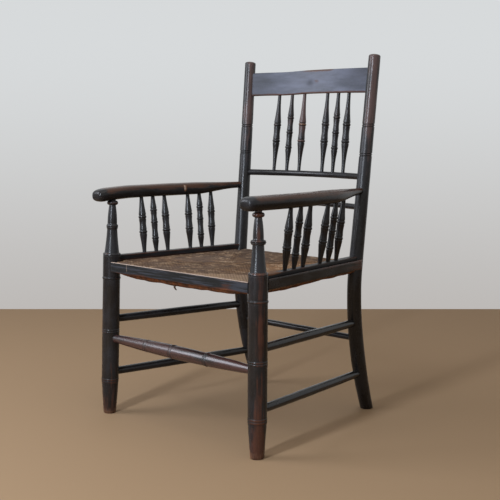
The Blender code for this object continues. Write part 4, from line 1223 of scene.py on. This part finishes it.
def broken_cord():
    """A short broken end that hangs below the front edge."""
    rings = []
    for i, point in enumerate(BROKEN_END):
        thick = mix(0.003, 0.0017, i / (len(BROKEN_END) - 1))
        ring = []
        for j, (cos, sin) in enumerate(circle(8)):
            place = Vector(point) + Vector((cos, sin, 0.0)) * thick
            ring.append((place, (j / 8, 3.0, i * 0.003), (0.1, 0.8, 0.0)))
        rings.append(ring)
    make_skin("rush_broken_end", [rings], rush_cords, "rush_seat")


# Finish of the solids that stay, hidden inside the rush


def bare_rails():
    for word in ("front", "back", "left", "right"):
        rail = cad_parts["seat_rail_" + word]
        rail.data.materials.clear()
        rail.data.materials.append(dark_wood)


# Stage


def floor():
    """A pale floor that ends at a straight line behind the chair."""
    ahead = Vector((-math.sin(CAMERA_HEADING), math.cos(CAMERA_HEADING), 0.0))
    aside = Vector((math.cos(CAMERA_HEADING), math.sin(CAMERA_HEADING), 0.0)) * 8
    far = Vector((CAMERA_PLACE.x, CAMERA_PLACE.y, 0.0)) + ahead * WALL_DISTANCE
    close = far - ahead * 10
    mesh = bpy.data.meshes.new("floor")
    mesh.from_pydata([far - aside, far + aside, close + aside, close - aside], [], [(3, 2, 1, 0)])
    material, tree, shader = new_material("pale_floor")
    values = {"Base Color": (0.36, 0.237, 0.135, 1.0), "Roughness": 0.75, "Specular IOR Level": 0.2}
    connect(tree, shader, values)
    mesh.materials.append(material)
    add_object("floor", mesh)


def surroundings():
    """A pale wall for the camera and the reflections, and a weaker even light on the chair."""
    world = bpy.data.worlds.new("studio")
    bpy.context.scene.world = world
    world.use_nodes = True
    tree = world.node_tree
    direction = node(tree, "ShaderNodeTexCoord").outputs["Generated"]
    height = step_up(tree, part_of(tree, direction, 2), -0.24, 0.09)
    wall = tint(tree, height, (0.49, 0.465, 0.445), (0.68, 0.7, 0.71))
    path = node(tree, "ShaderNodeLightPath").outputs
    seen = calc(tree, "MAXIMUM", path["Is Glossy Ray"], path["Is Transmission Ray"])
    seen = calc(tree, "MAXIMUM", path["Is Camera Ray"], seen)
    shown = node(tree, "ShaderNodeBackground", {"Color": wall, "Strength": 1.0}).outputs[0]
    even = {"Color": (1.0, 0.97, 0.94, 1.0), "Strength": 0.27}
    lit = node(tree, "ShaderNodeBackground", even).outputs[0]
    both = node(tree, "ShaderNodeMixShader", {0: seen, 1: lit, 2: shown}).outputs[0]
    connect(tree, tree.nodes["World Output"], {"Surface": both})


def lamps():
    for name, place, target, size, power, colour in LAMPS:
        lamp = bpy.data.lights.new(name, "AREA")
        lamp.shape = "RECTANGLE"
        lamp.size, lamp.size_y = size
        lamp.energy = power
        lamp.color = colour
        light = add_object(name, lamp)
        light.visible_camera = False
        light.location = place
        light.rotation_euler = (Vector(target) - Vector(place)).to_track_quat("-Z", "Y").to_euler()


def camera():
    lens = bpy.data.cameras.new("camera")
    lens.sensor_fit = "HORIZONTAL"
    lens.sensor_width = 36.0
    lens.lens = 71.62
    lens.shift_x = 0.00238
    lens.shift_y = -0.05797
    viewer = add_object("camera", lens)
    viewer.location = CAMERA_PLACE
    viewer.rotation_euler = (CAMERA_TILT, 0.0, CAMERA_HEADING)
    bpy.context.scene.camera = viewer
    bpy.context.scene.view_settings.view_transform = "Standard"


def main():
    for word in SIDES:
        front_leg(word)
        back_post(word)
        arm(word)
        arm_spindles(word)
    front_stretcher()
    side_and_back_stretchers()
    bowed_rod("back_rod_upper", *UPPER_ROD, 22.0)
    bowed_rod("back_rod_lower", *LOWER_ROD, 23.0)
    crest_rail()
    back_spindles()
    strips_and_rails()
    rush_seat()
    rush_core()
    broken_cord()
    bare_rails()
    floor()
    surroundings()
    lamps()
    camera()


main()
